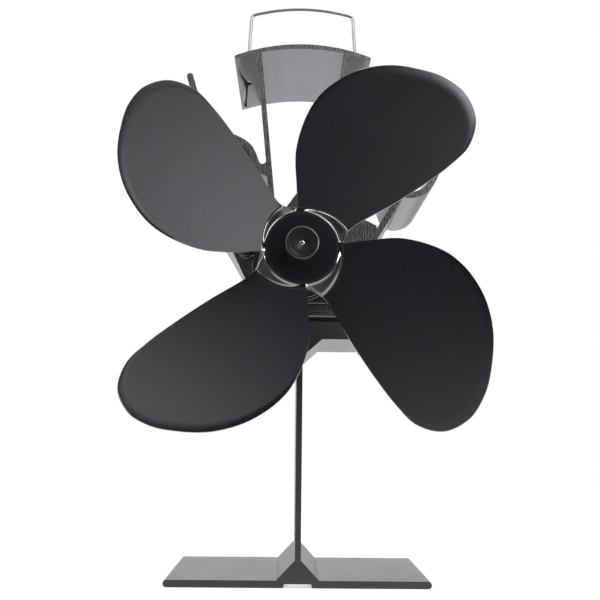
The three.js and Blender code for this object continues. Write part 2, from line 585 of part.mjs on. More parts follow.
/** The motor's pieces that stay still. */
function motorFrame() {
  const noseFront = -CAN.front - CAN.noseLength;
  return [
    piece('motor_can', motorCan(), ZINC),
    piece('motor_end_cap', motorEndCap(), PLASTIC),
    piece('front_bush', sleeveBush(noseFront), BRASS),
    piece('rear_bush', sleeveBush(CAN_REAR - END_CAP.thickness), BRASS),
    piece('magnet_right', magnet(1), FERRITE),
    piece('magnet_left', magnet(-1), FERRITE),
    piece('brush_right', brush(1), COPPER),
    piece('brush_left', brush(-1), COPPER),
  ];
}

/** The pieces on the shaft inside the motor, and the shaft. */
function rotor() {
  const shaftFront = -HUB.face - HUB_CAP.length + FIT_GAP;
  return [
    piece('motor_shaft', turned(bar(SHAFT.radius, shaftFront, SHAFT.rear), 0, AXIS_Z, 24), STAINLESS),
    piece('armature_core', armatureCore(), LAMINATION),
    piece('commutator', commutator(), COPPER),
    ...poleAngles().map((angle, i) => piece(`winding_${i + 1}`, winding(angle), COPPER)),
  ];
}

/** The flange with two ears and the collar that hold the motor to the block. */
function motorBezel() {
  const flatAngle = Math.asin(BEZEL.flatDrop / BEZEL.radius);
  const disc = prism(arc(0, AXIS_Z, BEZEL.radius, -flatAngle, Math.PI + flatAngle, 40), -BEZEL.thickness, 0);
  const ears = [1, -1].map((side) => {
    const x = side * BEZEL_EAR.half;
    const z = AXIS_Z + BEZEL_EAR.rise;
    const round = prism(arc(x, z, BEZEL_EAR.radius, 0, 2 * Math.PI, 20).slice(0, -1), -BEZEL.thickness, 0);
    const neck = slab([side * BEZEL_EAR.half, -BEZEL.thickness, z - BEZEL_EAR.radius * EAR_NECK_SHARE],
      [side * BEZEL_EAR.half * EAR_ROOT_SHARE, 0, z + BEZEL_EAR.radius]);
    return join([round, neck]);
  });
  const collarFront = -BEZEL.thickness - BEZEL.collarLength;
  const collar = turned(bar(BEZEL.collarRadius, collarFront, -BEZEL.thickness / 2), 0, AXIS_Z, 48);
  const bore = turned(bar(BORE_RADIUS, collarFront - OVERRUN, OVERRUN), 0, AXIS_Z, 48);
  const screwHoles = [1, -1].map((side) => turned(
    bar(BEZEL_SCREW.radius + FIT_GAP, -BEZEL.thickness - OVERRUN, OVERRUN),
    side * BEZEL_EAR.half, AXIS_Z + BEZEL_EAR.rise, 16));
  return cut(join([disc, ...ears, collar]), [bore, ...screwHoles]);
}

/** A pan-head screw through one of the bezel's ears. */
function bezelScrew(side) {
  const seat = -BEZEL.thickness;
  const top = seat - BEZEL_SCREW.headHeight;
  return turned([[0, top], [BEZEL_SCREW.headRadius * HEAD_FACE_SHARE, top],
    [BEZEL_SCREW.headRadius, top + BEZEL_SCREW.headHeight * HEAD_DOME_SHARE], [BEZEL_SCREW.headRadius, seat],
    [BEZEL_SCREW.radius, seat], [BEZEL_SCREW.radius, BEZEL_SCREW.length], [0, BEZEL_SCREW.length]],
  side * BEZEL_EAR.half, AXIS_Z + BEZEL_EAR.rise, 24);
}

/** How far behind the hub's face a blade's middle surface lies, at u out along the blade and v across. */
function bladeDepth(u, v) {
  const out = u - BLADE.tipRadius * BLADE_CENTRE_SHARE;
  const pitch = BLADE_PITCH_SHARE + (BLADE_TWIST_SHARE * out) / BLADE.tipRadius;
  const curl = (BLADE_HOLLOW_SHARE * v * v + BLADE_DROOP_SHARE * out * out) / BLADE.tipRadius;
  return BLADE.setBack - BLADE_RAKE_SHARE * out - pitch * v - curl;
}

/** Angle of a [u, v] point of a blade from the blade's own line. */
function angleOf([u, v]) {
  return Math.atan2(v, u);
}

/** Depth of the blades at a radius and at an angle from a blade's own line, with the gap between two bridged. */
function depthRound(radius, angle) {
  const step = (2 * Math.PI) / BLADE.count;
  const trailing = angleOf(BLADE_SHARES[0]);
  const leading = angleOf(BLADE_SHARES[BLADE_SHARES.length - 1]);
  const depthAt = (a) => bladeDepth(radius * Math.cos(a), radius * Math.sin(a));
  if (angle <= leading) return depthAt(angle);
  const across = THREE.MathUtils.smoothstep(angle, leading, trailing + step);
  return THREE.MathUtils.lerp(depthAt(leading), depthAt(trailing), across);
}

/** Depth of the cone that is pressed round the hub's flat face. */
function coneDepth(radius) {
  return BLADE.thickness / 2 + HUB.coneSlope * Math.max(radius - HUB.flatRadius, 0);
}

/** Radius at which that cone meets the blades, at an angle from a blade's own line. */
function coneFoot(angle) {
  let foot = HUB.flatRadius;
  for (let i = 0; i < CONE_PASSES; i += 1) {
    foot = HUB.flatRadius + (depthRound(foot, angle) - BLADE.thickness / 2) / HUB.coneSlope;
  }
  return Math.max(foot, HUB.flatRadius + HUB.coneLeast);
}

/** Depth of the sheet's middle surface: the flat face, then the cone, then the blades. */
function sheetDepth(radius, angle) {
  if (radius <= HUB.flatRadius) return BLADE.thickness / 2;
  return Math.min(coneDepth(radius), depthRound(radius, angle));
}

/** The edge of one blade and of the gap beside it, as [angle, radius] from the blade's own line. */
function sheetEdge() {
  const step = (2 * Math.PI) / BLADE.count;
  const shares = [...BLADE_SHARES, ...GAP_SHARES];
  const corners = [];
  for (let i = 0; i < BLADE.count; i += 1) {
    for (const [u, v] of shares) {
      corners.push(new THREE.Vector3(u, v, 0).applyAxisAngle(new THREE.Vector3(0, 0, 1), step * i));
    }
  }
  const curve = new THREE.CatmullRomCurve3(corners, true);
  return Array.from({ length: BLADE.columns }, (_, i) => {
    const point = curve.getPoint(i / (BLADE.columns * BLADE.count));
    return [Math.atan2(point.y, point.x), point.length() * BLADE.tipRadius];
  });
}

/** Radii of one column of the sheet, from the hole in its centre to its edge. */
function columnRadii(angle, edgeRadius) {
  const foot = Math.min(coneFoot(angle), edgeRadius - HUB.edgeInset);
  const root = Array.from({ length: BLADE.rootRings + 1 }, (_, i) => THREE.MathUtils.lerp(
    HUB.flatRadius, foot, i / BLADE.rootRings));
  const blade = Array.from({ length: BLADE.bladeRings }, (_, i) => THREE.MathUtils.lerp(
    foot, edgeRadius, (i + 1) / BLADE.bladeRings));
  return [HUB.holeRadius, ...root, ...blade];
}

/** The pressed sheet: a grid of columns round the axis, closed at its hole and along its edge. */
function impeller() {
  const step = (2 * Math.PI) / BLADE.count;
  const edge = sheetEdge();
  const positions = [];
  for (let i = 0; i < BLADE.count; i += 1) {
    for (const [angle, edgeRadius] of edge) {
      const turn = angle + step * (i + BLADE_TURN_SHARE);
      for (const lift of [-BLADE.thickness / 2, BLADE.thickness / 2]) {
        for (const radius of columnRadii(angle, edgeRadius)) {
          positions.push(
            radius * Math.cos(turn),
            sheetDepth(radius, angle) - HUB.face + lift,
            AXIS_Z + radius * Math.sin(turn));
        }
      }
    }
  }
  const rings = BLADE.rootRings + BLADE.bladeRings + 2;
  const columns = BLADE.count * BLADE.columns;
  const at = (column, face, ringAt) => (column % columns) * rings * 2 + face * rings + ringAt;
  const index = [];
  const quad = (a, b, c, d) => index.push(a, b, c, a, c, d);
  for (let i = 0; i < columns; i += 1) {
    for (let r = 0; r < rings - 1; r += 1) {
      quad(at(i, 0, r), at(i, 0, r + 1), at(i + 1, 0, r + 1), at(i + 1, 0, r));
      quad(at(i, 1, r), at(i + 1, 1, r), at(i + 1, 1, r + 1), at(i, 1, r + 1));
    }
    quad(at(i, 0, 0), at(i + 1, 0, 0), at(i + 1, 1, 0), at(i, 1, 0));
    quad(at(i, 0, rings - 1), at(i, 1, rings - 1), at(i + 1, 1, rings - 1), at(i + 1, 0, rings - 1));
  }
  const geometry = new THREE.BufferGeometry();
  geometry.setAttribute('position', new THREE.Float32BufferAttribute(positions, 3));
  geometry.setIndex(index);
  return solidOf(geometry);
}

/** The brass bush through the sheet's hole, with a flange behind it. */
function hubBush() {
  const seat = -HUB.face + BLADE.thickness + RUNNING_GAP;
  const rear = -HUB.face + HUB_BUSH.rear;
  const front = -HUB.face - HUB_BUSH.nose;
  return turned([
    [RUNNING_RADIUS, front], [HUB_BUSH.radius, front], [HUB_BUSH.radius, seat], [HUB_BUSH.flangeRadius, seat],
    [HUB_BUSH.flangeRadius, seat + HUB_BUSH.flangeThickness],
    [HUB_BUSH.barrelRadius, seat + HUB_BUSH.flangeThickness], [HUB_BUSH.barrelRadius, rear],
    [RUNNING_RADIUS, rear], [RUNNING_RADIUS, front],
  ], 0, AXIS_Z, 32);
}

/** The hub cap over the bush, with the shaft's end in its centre. */
function hubCap() {
  const rear = -HUB.face;
  const front = rear - HUB_CAP.length;
  const pocket = HUB_BUSH.radius + FIT_GAP;
  return turned([
    [RUNNING_RADIUS, front],
    ...arc(HUB_CAP.radius - HUB_CAP.corner, front + HUB_CAP.corner, HUB_CAP.corner, -Math.PI / 2, 0, 4),
    [HUB_CAP.radius, rear], [pocket, rear], [pocket, rear - HUB_CAP.pocketLength],
    [RUNNING_RADIUS, rear - HUB_CAP.pocketLength], [RUNNING_RADIUS, front],
  ], 0, AXIS_Z, 48);
}

/** Impeller, bush and cap. */
function fanWheel() {
  return [
    piece('impeller', impeller(), BLADE_PAINT),
    piece('hub_bush', hubBush(), BRASS),
    piece('hub_cap', hubCap(), CAP_PAINT),
  ];
}

/** A point between two points. */
function between([x0, y0, z0], [x1, y1, z1], share) {
  return [
    THREE.MathUtils.lerp(x0, x1, share), THREE.MathUtils.lerp(y0, y1, share), THREE.MathUtils.lerp(z0, z1, share)];
}

/** One half of the bent wire's line: toe, straight leg, tight corner and half of the crowned top. */
function handleHalf(side) {
  const foot = roofUnderAt(HANDLE.holeHalf) - HANDLE.hang;
  const top = ROOF_CREST + HANDLE_TOP.height;
  const bend = HANDLE.toe / 3;
  const heel = [side * HANDLE.legHalf, 0, foot + bend];
  const corner = [side * HANDLE_TOP.half, 0, top];
  const crown = (share) => [side * HANDLE_TOP.half * share, 0, top + HANDLE_TOP.crown * (1 - share ** 2)];
  const legEnd = between(corner, heel, HANDLE_TOP.corner / (top - foot));
  const crownEnd = crown(1 - HANDLE_TOP.corner / HANDLE_TOP.half);
  return [
    [side * HANDLE.legHalf, HANDLE.toe, foot],
    [side * HANDLE.legHalf, bend, foot],
    heel,
    ...LEG_SHARES.map((share) => between(heel, corner, share)),
    legEnd,
    between(between(legEnd, crownEnd, 1 / 2), corner, 1 / 2),
    crownEnd,
    ...CROWN_SHARES.map(crown),
  ];
}

/** The bent wire handle in one line. */
function handle() {
  const left = handleHalf(-1);
  const right = handleHalf(1).slice(0, -1);
  const line = [...left, ...right.reverse()];
  const curve = new THREE.CatmullRomCurve3(line.map(([x, y, z]) => new THREE.Vector3(x, MIDDLE + y, z)));
  return rod(curve, HANDLE.wire, 140, 8);
}

/** The bimetal strip under the foot and the rivet that holds its rear end. */
function bimetalSet() {
  const rivetY = STRIP.rear - STRIP.rivetInset;
  const stripTop = RECESS.depth - STRIP.gap;
  const stripBottom = stripTop - STRIP.thickness;
  const hole = turnedUpright(bar(RIVET.radius + FIT_GAP, stripBottom - OVERRUN, stripTop + OVERRUN), 0, rivetY, 16);
  const strip = slab([-STRIP.width / 2, STRIP.front, stripBottom], [STRIP.width / 2, STRIP.rear, stripTop]);
  const headTop = stripBottom - RUNNING_GAP;
  const head = headTop - RIVET.headHeight;
  const rivet = [[0, head], [RIVET.headRadius, head], [RIVET.headRadius, headTop], [RIVET.radius, headTop],
    [RIVET.radius, RECESS.depth + RIVET.length], [0, RECESS.depth + RIVET.length]];
  return [
    piece('bimetal_strip', cut(strip, [hole]), ZINC),
    piece('bimetal_rivet', turnedUpright(rivet, 0, rivetY, 20), STAINLESS),
  ];
}

/** A lead from the module's rear edge up the back of the block and along the bore to a terminal. */
function lead(side) {
  const start = MIDDLE + MODULE.side / 2 - MODULE.sealWidth + FIT_GAP;
  const back = DEPTH + LEAD.stand;
  const leadZ = (LEG_BOTTOM + LEG_TOP) / 2;
  const turn = LEAD.stand;
  const line = [
    [MODULE.notchHalf, start, leadZ],
    [MODULE.notchHalf, start + turn, leadZ],
    [MODULE.notchHalf, DEPTH - turn, leadZ],
    [MODULE.notchHalf, back - turn / 3, leadZ + turn / 3],
    [MODULE.notchHalf, back, leadZ + LEAD.lowRise],
    [BRUSH.tabHalf, back, AXIS_Z - LEAD.highDrop],
    [BRUSH.tabHalf, back - turn / 3, AXIS_Z - turn / 2],
    [BRUSH.tabHalf, DEPTH - turn, AXIS_Z],
    [BRUSH.tabHalf, MIDDLE, AXIS_Z],
    [BRUSH.tabHalf, BRUSH.tabRear + FIT_GAP, AXIS_Z],
  ];
  const curve = new THREE.CatmullRomCurve3(line.map(([x, y, z]) => new THREE.Vector3(side * x, y, z)));
  return rod(curve, LEAD.radius, 44, 6);
}

/** The sleeve over a terminal and the end of its lead. */
function leadSleeve(side) {
  const front = BRUSH.tabRear - LEAD_SLEEVE.lap;
  return turned(ring(LEAD_SLEEVE.inner, LEAD_SLEEVE.outer, front, front + LEAD_SLEEVE.length),
    side * BRUSH.tabHalf, AXIS_Z, 20);
}

/** Both leads with their sleeves. */
function wiring() {
  return [
    piece('red_lead', lead(1), RED_WIRE),
    piece('black_lead', lead(-1), BLACK_WIRE),
    piece('lead_sleeve_right', leadSleeve(1), SEALANT),
    piece('lead_sleeve_left', leadSleeve(-1), SEALANT),
  ];
}

/** Everything, standing on the ground with its origin under the middle of what it spans. */
function stoveFan() {
  const fan = new THREE.Group();
  fan.add(
    piece('base_extrusion', baseExtrusion(), EXTRUSION),
    piece('heat_sink', heatSink(), EXTRUSION),
    ...thermoelectricModule(),
    ...clampSet(1, 'right'),
    ...clampSet(-1, 'left'),
    ...motorFrame(),
    ...rotor(),
    piece('motor_bezel', motorBezel(), EXTRUSION),
    piece('bezel_screw_right', bezelScrew(1), ZINC),
    piece('bezel_screw_left', bezelScrew(-1), ZINC),
    ...fanWheel(),
    piece('handle', handle(), STAINLESS),
    ...bimetalSet(),
    ...wiring(),
  );
  const middle = new THREE.Box3().setFromObject(fan, true).getCenter(new THREE.Vector3());
  fan.position.set(-middle.x, -middle.y, 0);
  return fan;
}

export default stoveFan();
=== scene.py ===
"""Looks of the heat-driven stove fan: fine meshes, finishes, studio light and camera.

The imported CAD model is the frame. Pieces are drawn in millimetres in the CAD's own axes, with the fan facing
-Y, and become meshes in metres. A piece that replaces a CAD node takes its place from that node's box.
"""

import logging
import math
from collections.abc import Callable, Mapping, Sequence
from dataclasses import dataclass, field
from enum import Enum
from typing import Any

import bmesh
import bpy
from mathutils import Matrix, Vector


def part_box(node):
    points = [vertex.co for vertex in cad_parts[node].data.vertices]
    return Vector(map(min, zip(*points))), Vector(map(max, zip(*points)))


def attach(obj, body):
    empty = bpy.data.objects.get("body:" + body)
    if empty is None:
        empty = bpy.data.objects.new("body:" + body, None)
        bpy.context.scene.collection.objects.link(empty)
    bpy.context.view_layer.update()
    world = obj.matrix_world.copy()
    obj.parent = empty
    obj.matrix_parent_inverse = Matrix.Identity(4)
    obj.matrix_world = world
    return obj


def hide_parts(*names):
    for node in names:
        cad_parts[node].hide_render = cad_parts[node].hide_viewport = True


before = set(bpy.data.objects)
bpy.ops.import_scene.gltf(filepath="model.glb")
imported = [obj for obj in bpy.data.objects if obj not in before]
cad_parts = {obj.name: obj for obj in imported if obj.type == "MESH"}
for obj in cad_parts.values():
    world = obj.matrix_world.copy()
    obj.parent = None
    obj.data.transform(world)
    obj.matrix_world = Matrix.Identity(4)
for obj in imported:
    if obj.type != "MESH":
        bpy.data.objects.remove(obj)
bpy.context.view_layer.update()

LOG = logging.getLogger("stove_fan")
MM = 0.001
FULL_TURN = 2 * math.pi
ORIGIN = Vector((0.0, 0.0, 0.0))
# Mesh attribute with the share of the blades' painted highlight at their creases and edges.
HIGHLIGHT_ATTRIBUTE = "highlight_share"
SOFT_ANGLE = 34.0
Pair = tuple[float, float]
Triple = tuple[float, float, float]


# Node graphs


def arithmetic(operation: str) -> Callable[["Value", "Value | float"], "Value"]:
    """A method of Value that does an operation of the Math node with another number."""
    return lambda value, other: value.graph.math(operation, value, other)


@dataclass(frozen=True)
class Value:
    """A number or colour that flows out of a node, with arithmetic."""

    graph: "Graph"
    socket: bpy.types.NodeSocket

    __add__ = __radd__ = arithmetic("ADD")
    __sub__ = arithmetic("SUBTRACT")
    __mul__ = __rmul__ = arithmetic("MULTIPLY")
    __truediv__ = arithmetic("DIVIDE")
    __pow__ = arithmetic("POWER")

    def __rsub__(self, other: float) -> "Value":
        """Difference from a number."""
        return self.graph.math("SUBTRACT", other, self)

    def size(self) -> "Value":
        """Absolute value."""
        return self.graph.math("ABSOLUTE", self)

    def hypot(self, other: "Value") -> "Value":
        """Distance that this coordinate and another one at right angles make."""
        return (self * self + other * other) ** 0.5

    def clamped(self) -> "Value":
        """Value held between 0 and 1."""
        return self.graph.math("ADD", self, 0.0, clamp=True)

    def step(self, low: float, high: float) -> "Value":
        """Smooth step from 0 at low to 1 at high."""
        inputs = {"Value": self, "From Min": low, "From Max": high}
        return self.graph.add("ShaderNodeMapRange", inputs, {"interpolation_type": "SMOOTHSTEP"})


class Graph:
    """A node tree that is being written."""

    def __init__(self, tree: bpy.types.NodeTree) -> None:
        """Starts writing into a tree."""
        self.tree = tree

    @classmethod
    def of(cls, owner: bpy.types.Material | bpy.types.World) -> "Graph":
        """The emptied tree of a material or a world.

        Args:
            owner: the material or world.

        Returns:
            The graph of its tree.
        """
        owner.use_nodes = True
        owner.node_tree.nodes.clear()
        return cls(owner.node_tree)

    def node(self, kind: str, inputs: Mapping[str | int, Any] | None = None,
             settings: Mapping[str, Any] | None = None) -> bpy.types.Node:
        """Makes a node.

        Args:
            kind: the node's type.
            inputs: a value, a Value or several Values for each input socket, by name or index.
            settings: the node's own options, which are set first.

        Returns:
            The new node.
        """
        made = self.tree.nodes.new(kind)
        for name, setting in (settings or {}).items():
            setattr(made, name, setting)
        for key, given in (inputs or {}).items():
            for each in given if isinstance(given, list) else [given]:
                if isinstance(each, Value):
                    self.tree.links.new(each.socket, made.inputs[key])
                else:
                    made.inputs[key].default_value = each
        return made

    def out(self, node: bpy.types.Node, key: str | int = 0) -> Value:
        """The value of one of a node's outputs."""
        return Value(self, node.outputs[key])

    def add(self, kind: str, inputs: Mapping[str | int, Any] | None = None,
            settings: Mapping[str, Any] | None = None, key: str | int = 0) -> Value:
        """Makes a node and gives one of its outputs."""
        return self.out(self.node(kind, inputs, settings), key)

    def math(self, operation: str, first: Value | float, second: Value | float = 0.0,
             clamp: bool = False) -> Value:
        """The result of a Math node, held between 0 and 1 where clamp is set."""
        return self.add("ShaderNodeMath", {0: first, 1: second}, {"operation": operation, "use_clamp": clamp})

    def coords(self, kind: str = "Object") -> Value:
        """Object coordinates in metres, or another set that Texture Coordinate gives."""
        return self.add("ShaderNodeTexCoord", key=kind)

    def split(self, vector: Value) -> tuple[Value, Value, Value]:
        """X, Y and Z of a vector."""
        parts = self.node("ShaderNodeSeparateXYZ", {0: vector})
        return tuple(self.out(parts, i) for i in range(3))

    def rays(self) -> tuple[Value, Value, Value]:
        """1 for rays from the camera, from a reflection and through clear material."""
        path = self.node("ShaderNodeLightPath")
        return tuple(self.out(path, f"Is {kind} Ray") for kind in ("Camera", "Glossy", "Transmission"))

    def vector(self, x: Value | float, y: Value | float, z: Value | float) -> Value:
        """A vector from three numbers."""
        return self.add("ShaderNodeCombineXYZ", {0: x, 1: y, 2: z})

    def noise(self, vector: Value, scale: float = 1.0, detail: float = 2.0, roughness: float = 0.5) -> Value:
        """Fractal noise between 0 and 1, with scale cells for each unit of the vector and detail octaves."""
        inputs = {"Vector": vector, "Scale": scale, "Detail": detail, "Roughness": roughness}
        return self.add("ShaderNodeTexNoise", inputs, {"noise_dimensions": "3D"})

    def lines(self, along: Value, pitch: float, detail: float = 2.0) -> Value:
        """Noise that changes along one coordinate only, as lines a rough pitch apart."""
        inputs = {"W": along, "Scale": 1 / pitch, "Detail": detail}
        return self.add("ShaderNodeTexNoise", inputs, {"noise_dimensions": "1D"})

    def mix(self, share: Value, first: Any, second: Any) -> Value:
        """A colour between two colours or Values, the second one where share is 1."""
        inputs = {0: share, 6: self.colour(first), 7: self.colour(second)}
        return self.add("ShaderNodeMix", inputs, {"data_type": "RGBA", "clamp_factor": True}, 2)

    @staticmethod
    def colour(given: Any) -> Any:
        """Three numbers as a colour with alpha; anything else as it is."""
        return (*given, 1.0) if isinstance(given, tuple) and len(given) == 3 else given

    def bump(self, height: Value, depth: float, strength: float) -> Value:
        """The normal bent by a height whose 1 is depth in metres, at a share of the full effect."""
        return self.add("ShaderNodeBump", {"Height": height, "Distance": depth, "Strength": strength})


# Finishes

MADE: dict[str, bpy.types.Material] = {}


@dataclass(frozen=True)
class Finish:
    """What a surface looks like. Lengths are in metres and cells are counted for each metre."""

    label: str

    def surface(self, g: Graph) -> dict[str, Any]:
        """Inputs of the Principled shader that differ from the default, drawn in the material's graph."""
        raise NotImplementedError

    def material(self) -> bpy.types.Material:
        """The Blender material, made once for each label.

        Returns:
            The material.
        """
        made = MADE.get(self.label)
        if made is None:
            made = MADE[self.label] = bpy.data.materials.new(self.label)
            g = Graph.of(made)
            shader = g.add("ShaderNodeBsdfPrincipled", self.surface(g))
            g.node("ShaderNodeOutputMaterial", {"Surface": shader})
        return made


@dataclass(frozen=True)
class ExtrudedAluminium(Finish):
    """Dark anodised extrusion: satin faces with faint die lines along Y, ends streaked by the saw, and painted
    shade.
    """

    face: Triple = (0.355, 0.343, 0.37)
    face_dark: Triple = (0.13, 0.127, 0.135)
    sawn: Triple = (0.05, 0.05, 0.053)
    sawn_light: Triple = (0.34, 0.336, 0.35)
    edge: Triple = (0.5, 0.5, 0.52)
    # Painted shade: near-black colour on the wall of the handle's hole in the roof.
    bore: Triple = (0.02, 0.02, 0.02)
    metallic: float = 0.92
    face_roughness: float = 0.2
    sawn_roughness: float = 0.46
    relief: float = 0.00004
    die_pitch: float = 0.0009
    die_run: float = 14.0
    cloud_cells: float = 38.0
    cloud_run: float = 0.4
    saw_pitch: float = 0.00045
    saw_run: float = 10.0
    saw_rise: float = 420.0
    saw_centre: Pair = (1.9, 0.16)
    grain_cells: float = 3300.0
    streaks: Pair = (0.49, 0.7)
    # Painted shade: below this level, where the blades shade the block, the saw streaks fade to the dark sawn
    # tone.
    painted_shade_below: Pair = (0.117, 0.14)
    shaded_streak_share: float = 0.22
    sawn_turn: Pair = (0.82, 0.9)
    edge_turn: Pair = (0.5, 0.62)
    # How far a face turns towards the sides before it takes painted shade.
    side_turn: Pair = (0.12, 0.7)
    flat_turn: Pair = (0.6, 0.75)
    hole_half: float = 0.0253
    hole_depth: float = 0.0238
    hole_radius: float = 0.0025
    hole_above: float = 0.205

    def surface(self, g: Graph) -> dict[str, Any]:
        """Die lines on the drawn faces, saw streaks on the ends, bright burrs on the cut edges, and painted
        shade.

        Args:
            g: the material's graph.

        Returns:
            A value or Value for each socket of the Principled shader that it sets.
        """
        here = g.coords()
        x, y, z = g.split(here)
        turn_x, turn_y, turn_z = g.split(g.coords("Normal"))
        is_sawn = turn_y.size().step(*self.sawn_turn)
        is_edge = turn_y.size().step(*self.edge_turn) * (1 - is_sawn)
        from_hole = (x.size() - self.hole_half).hypot(y - self.hole_depth)
        # Painted shade: the wall of the handle's hole takes the near-black bore colour.
        painted_hole_shade = (g.math("GREATER_THAN", z, self.hole_above) * (1 - turn_z.size().step(*self.flat_turn))
                   * (1 - from_hole.step(self.hole_radius, self.hole_radius * 1.1)))
        die = g.noise(g.vector(x / self.die_pitch, y * self.die_run, z / self.die_pitch))
        cloud = g.noise(g.vector(x, y * self.cloud_run, z), self.cloud_cells)
        reach = (x - self.saw_centre[0]).hypot(z - self.saw_centre[1])
        saw = g.lines(reach, self.saw_pitch, 3.0)
        broken = g.noise(g.vector(reach / self.saw_pitch, y * self.saw_run, z * self.saw_rise), roughness=0.6)
        grain = g.noise(here, self.grain_cells, roughness=0.7)
        # Die and cloud vary the tone at random. The last term is painted shade: faces turned to the sides go
        # to face_dark, which is painted light on the base, where face_dark is the lighter tone.
        tone = die * 0.25 + cloud * 0.5 + 0.3 - turn_x.size().step(*self.side_turn) * 0.9
        # Painted shade: streaks are kept whole above the level and cut to a share below it.
        unshaded_share = self.shaded_streak_share + z.step(*self.painted_shade_below) * (1 - self.shaded_streak_share)
        streak = (saw * 0.36 + broken * 0.42 + grain * 0.4).step(*self.streaks) * unshaded_share
        drawn = g.mix(tone.clamped(), self.face_dark, self.face)
        cut = g.mix(streak, self.sawn, self.sawn_light)
        whole = g.mix(painted_hole_shade, g.mix(is_sawn, drawn, cut), self.bore)
        gloss = self.face_roughness + die * 0.05 + cloud * 0.06
        dull = self.sawn_roughness + saw * 0.12
        height = die * (1 - is_sawn) * 0.12 + (saw * 0.6 + broken * 0.4) * is_sawn
        return {
            "Base Color": g.mix(is_edge * grain.step(0.25, 0.45), whole, self.edge),
            "Metallic": self.metallic,
            "Roughness": gloss + (dull - gloss) * is_sawn,
            "Normal": g.bump(height, self.relief, 0.6),
        }


@dataclass(frozen=True)
class TexturedPaint(Finish):
    """Fine-textured satin black paint, with a painted highlight: a lighter, metallic strip along the sheet's
    edges and creases.
    """

    low: Triple = (0.0045, 0.0043, 0.0065)
    high: Triple = (0.009, 0.0086, 0.0125)
    # Colour and gloss of the painted highlight strip.
    highlight_tone: Triple = (0.36, 0.36, 0.37)
    cast: Triple = (0.97, 0.945, 1.0)
    roughness: float = 0.225
    highlight_roughness: float = 0.12
    grain_pitch: float = 0.00055
    fine_share: float = 2.6
    cloud_cells: float = 24.0
    relief: float = 0.00003

    def surface(self, g: Graph) -> dict[str, Any]:
        """Orange-peel grain in relief and gloss, a faint cloud, and the painted highlight that the mesh
        carries.

        Args:
            g: the material's graph.

        Returns:
            A value or Value for each socket of the Principled shader that it sets.
        """
        here = g.coords()
        peel = g.noise(here, 1 / self.grain_pitch, 2.0, 0.6)
        fine = g.noise(here, self.fine_share / self.grain_pitch, 1.0)
        cloud = g.noise(here, self.cloud_cells, 3.0)
        # Painted highlight: lighter and metallic where the mesh's share is high.
        highlight_share = g.add("ShaderNodeAttribute", {}, {"attribute_name": HIGHLIGHT_ATTRIBUTE}, "Fac").clamped()
        highlight_metal = highlight_share.step(0.0, 0.3)
        tone = (peel.step(0.35, 0.7) * 0.6 + cloud * 0.5 - 0.05).clamped()
        dull = self.roughness + peel * 0.08 + cloud * 0.05
        return {
            "Base Color": g.mix(highlight_share, g.mix(tone, self.low, self.high), self.highlight_tone),
            "Metallic": highlight_metal,
            "Roughness": dull + highlight_metal * (self.highlight_roughness - dull),
            "Specular Tint": g.colour(self.cast),
            "Normal": g.bump(peel * 0.6 + fine * 0.4, self.relief, 0.11),
        }


@dataclass(frozen=True)
class TurnedPaint(Finish):
    """Satin black paint over turned metal, with faint rings round the fan's axis and a painted highlight ring
    on the rim.
    """

    low: Triple = (0.006, 0.006, 0.0075)
    high: Triple = (0.012, 0.012, 0.014)
    # Colour of the painted highlight ring on the rim.
    highlight_tone: Triple = (0.16, 0.16, 0.165)
    roughness: float = 0.26
    axis_height: float = 0.1292
    rim: Triple = (0.0055, 0.0058, 0.0061)
    ring_pitch: float = 0.00035
    haze_cells: float = 900.0
    relief: float = 0.000025

    def surface(self, g: Graph) -> dict[str, Any]:
        """Turning rings on the flat, fine haze elsewhere, and a painted highlight ring on the rim.

        Args:
            g: the material's graph.

        Returns:
            A value or Value for each socket of the Principled shader that it sets.
        """
        here = g.coords()
        x, _, z = g.split(here)
        out = x.hypot(z - self.axis_height)
        rings = g.lines(out, self.ring_pitch)
        haze = g.noise(here, self.haze_cells, 3.0, 0.6)
        inner, middle, outer = self.rim
        # Painted highlight: a lighter, metallic ring on the rim.
        rim_highlight = out.step(inner, middle) * (1 - out.step(middle, outer)) * haze.step(0.15, 0.5)
        return {
            "Base Color": g.mix(rim_highlight, g.mix(haze.step(0.3, 0.7), self.low, self.high), self.highlight_tone),
            "Metallic": rim_highlight,
            "Roughness": self.roughness + haze * 0.12,
            "Normal": g.bump(rings * 0.7 + haze * 0.3, self.relief, 0.5),
        }


@dataclass(frozen=True)
class TwoTone(Finish):
    """A surface whose pattern runs between a light and a dark tone."""

    light: Triple = (0.8, 0.8, 0.81)
    dark: Triple = (0.52, 0.52, 0.53)
    roughness: float = 0.14
    metallic: float = 1.0
    specular: float = 0.5
    relief: float = 0.00002
    strength: float = 0.5

    def pattern(self, g: Graph, here: Value) -> tuple[Value, Value, Value]:
        """Share of the dark tone, what is added to the roughness, and the height of the relief."""
        raise NotImplementedError

    def surface(self, g: Graph) -> dict[str, Any]:
        """The pattern as colour, gloss and relief.

        Args:
            g: the material's graph.

        Returns:
            A value or Value for each socket of the Principled shader that it sets.
        """
        tone, dull, height = self.pattern(g, g.coords())
        return {
            "Base Color": g.mix(tone.clamped(), self.light, self.dark),
            "Metallic": self.metallic,
            "Roughness": self.roughness + dull,
            "Specular IOR Level": self.specular,
            "Normal": g.bump(height, self.relief, self.strength),
        }


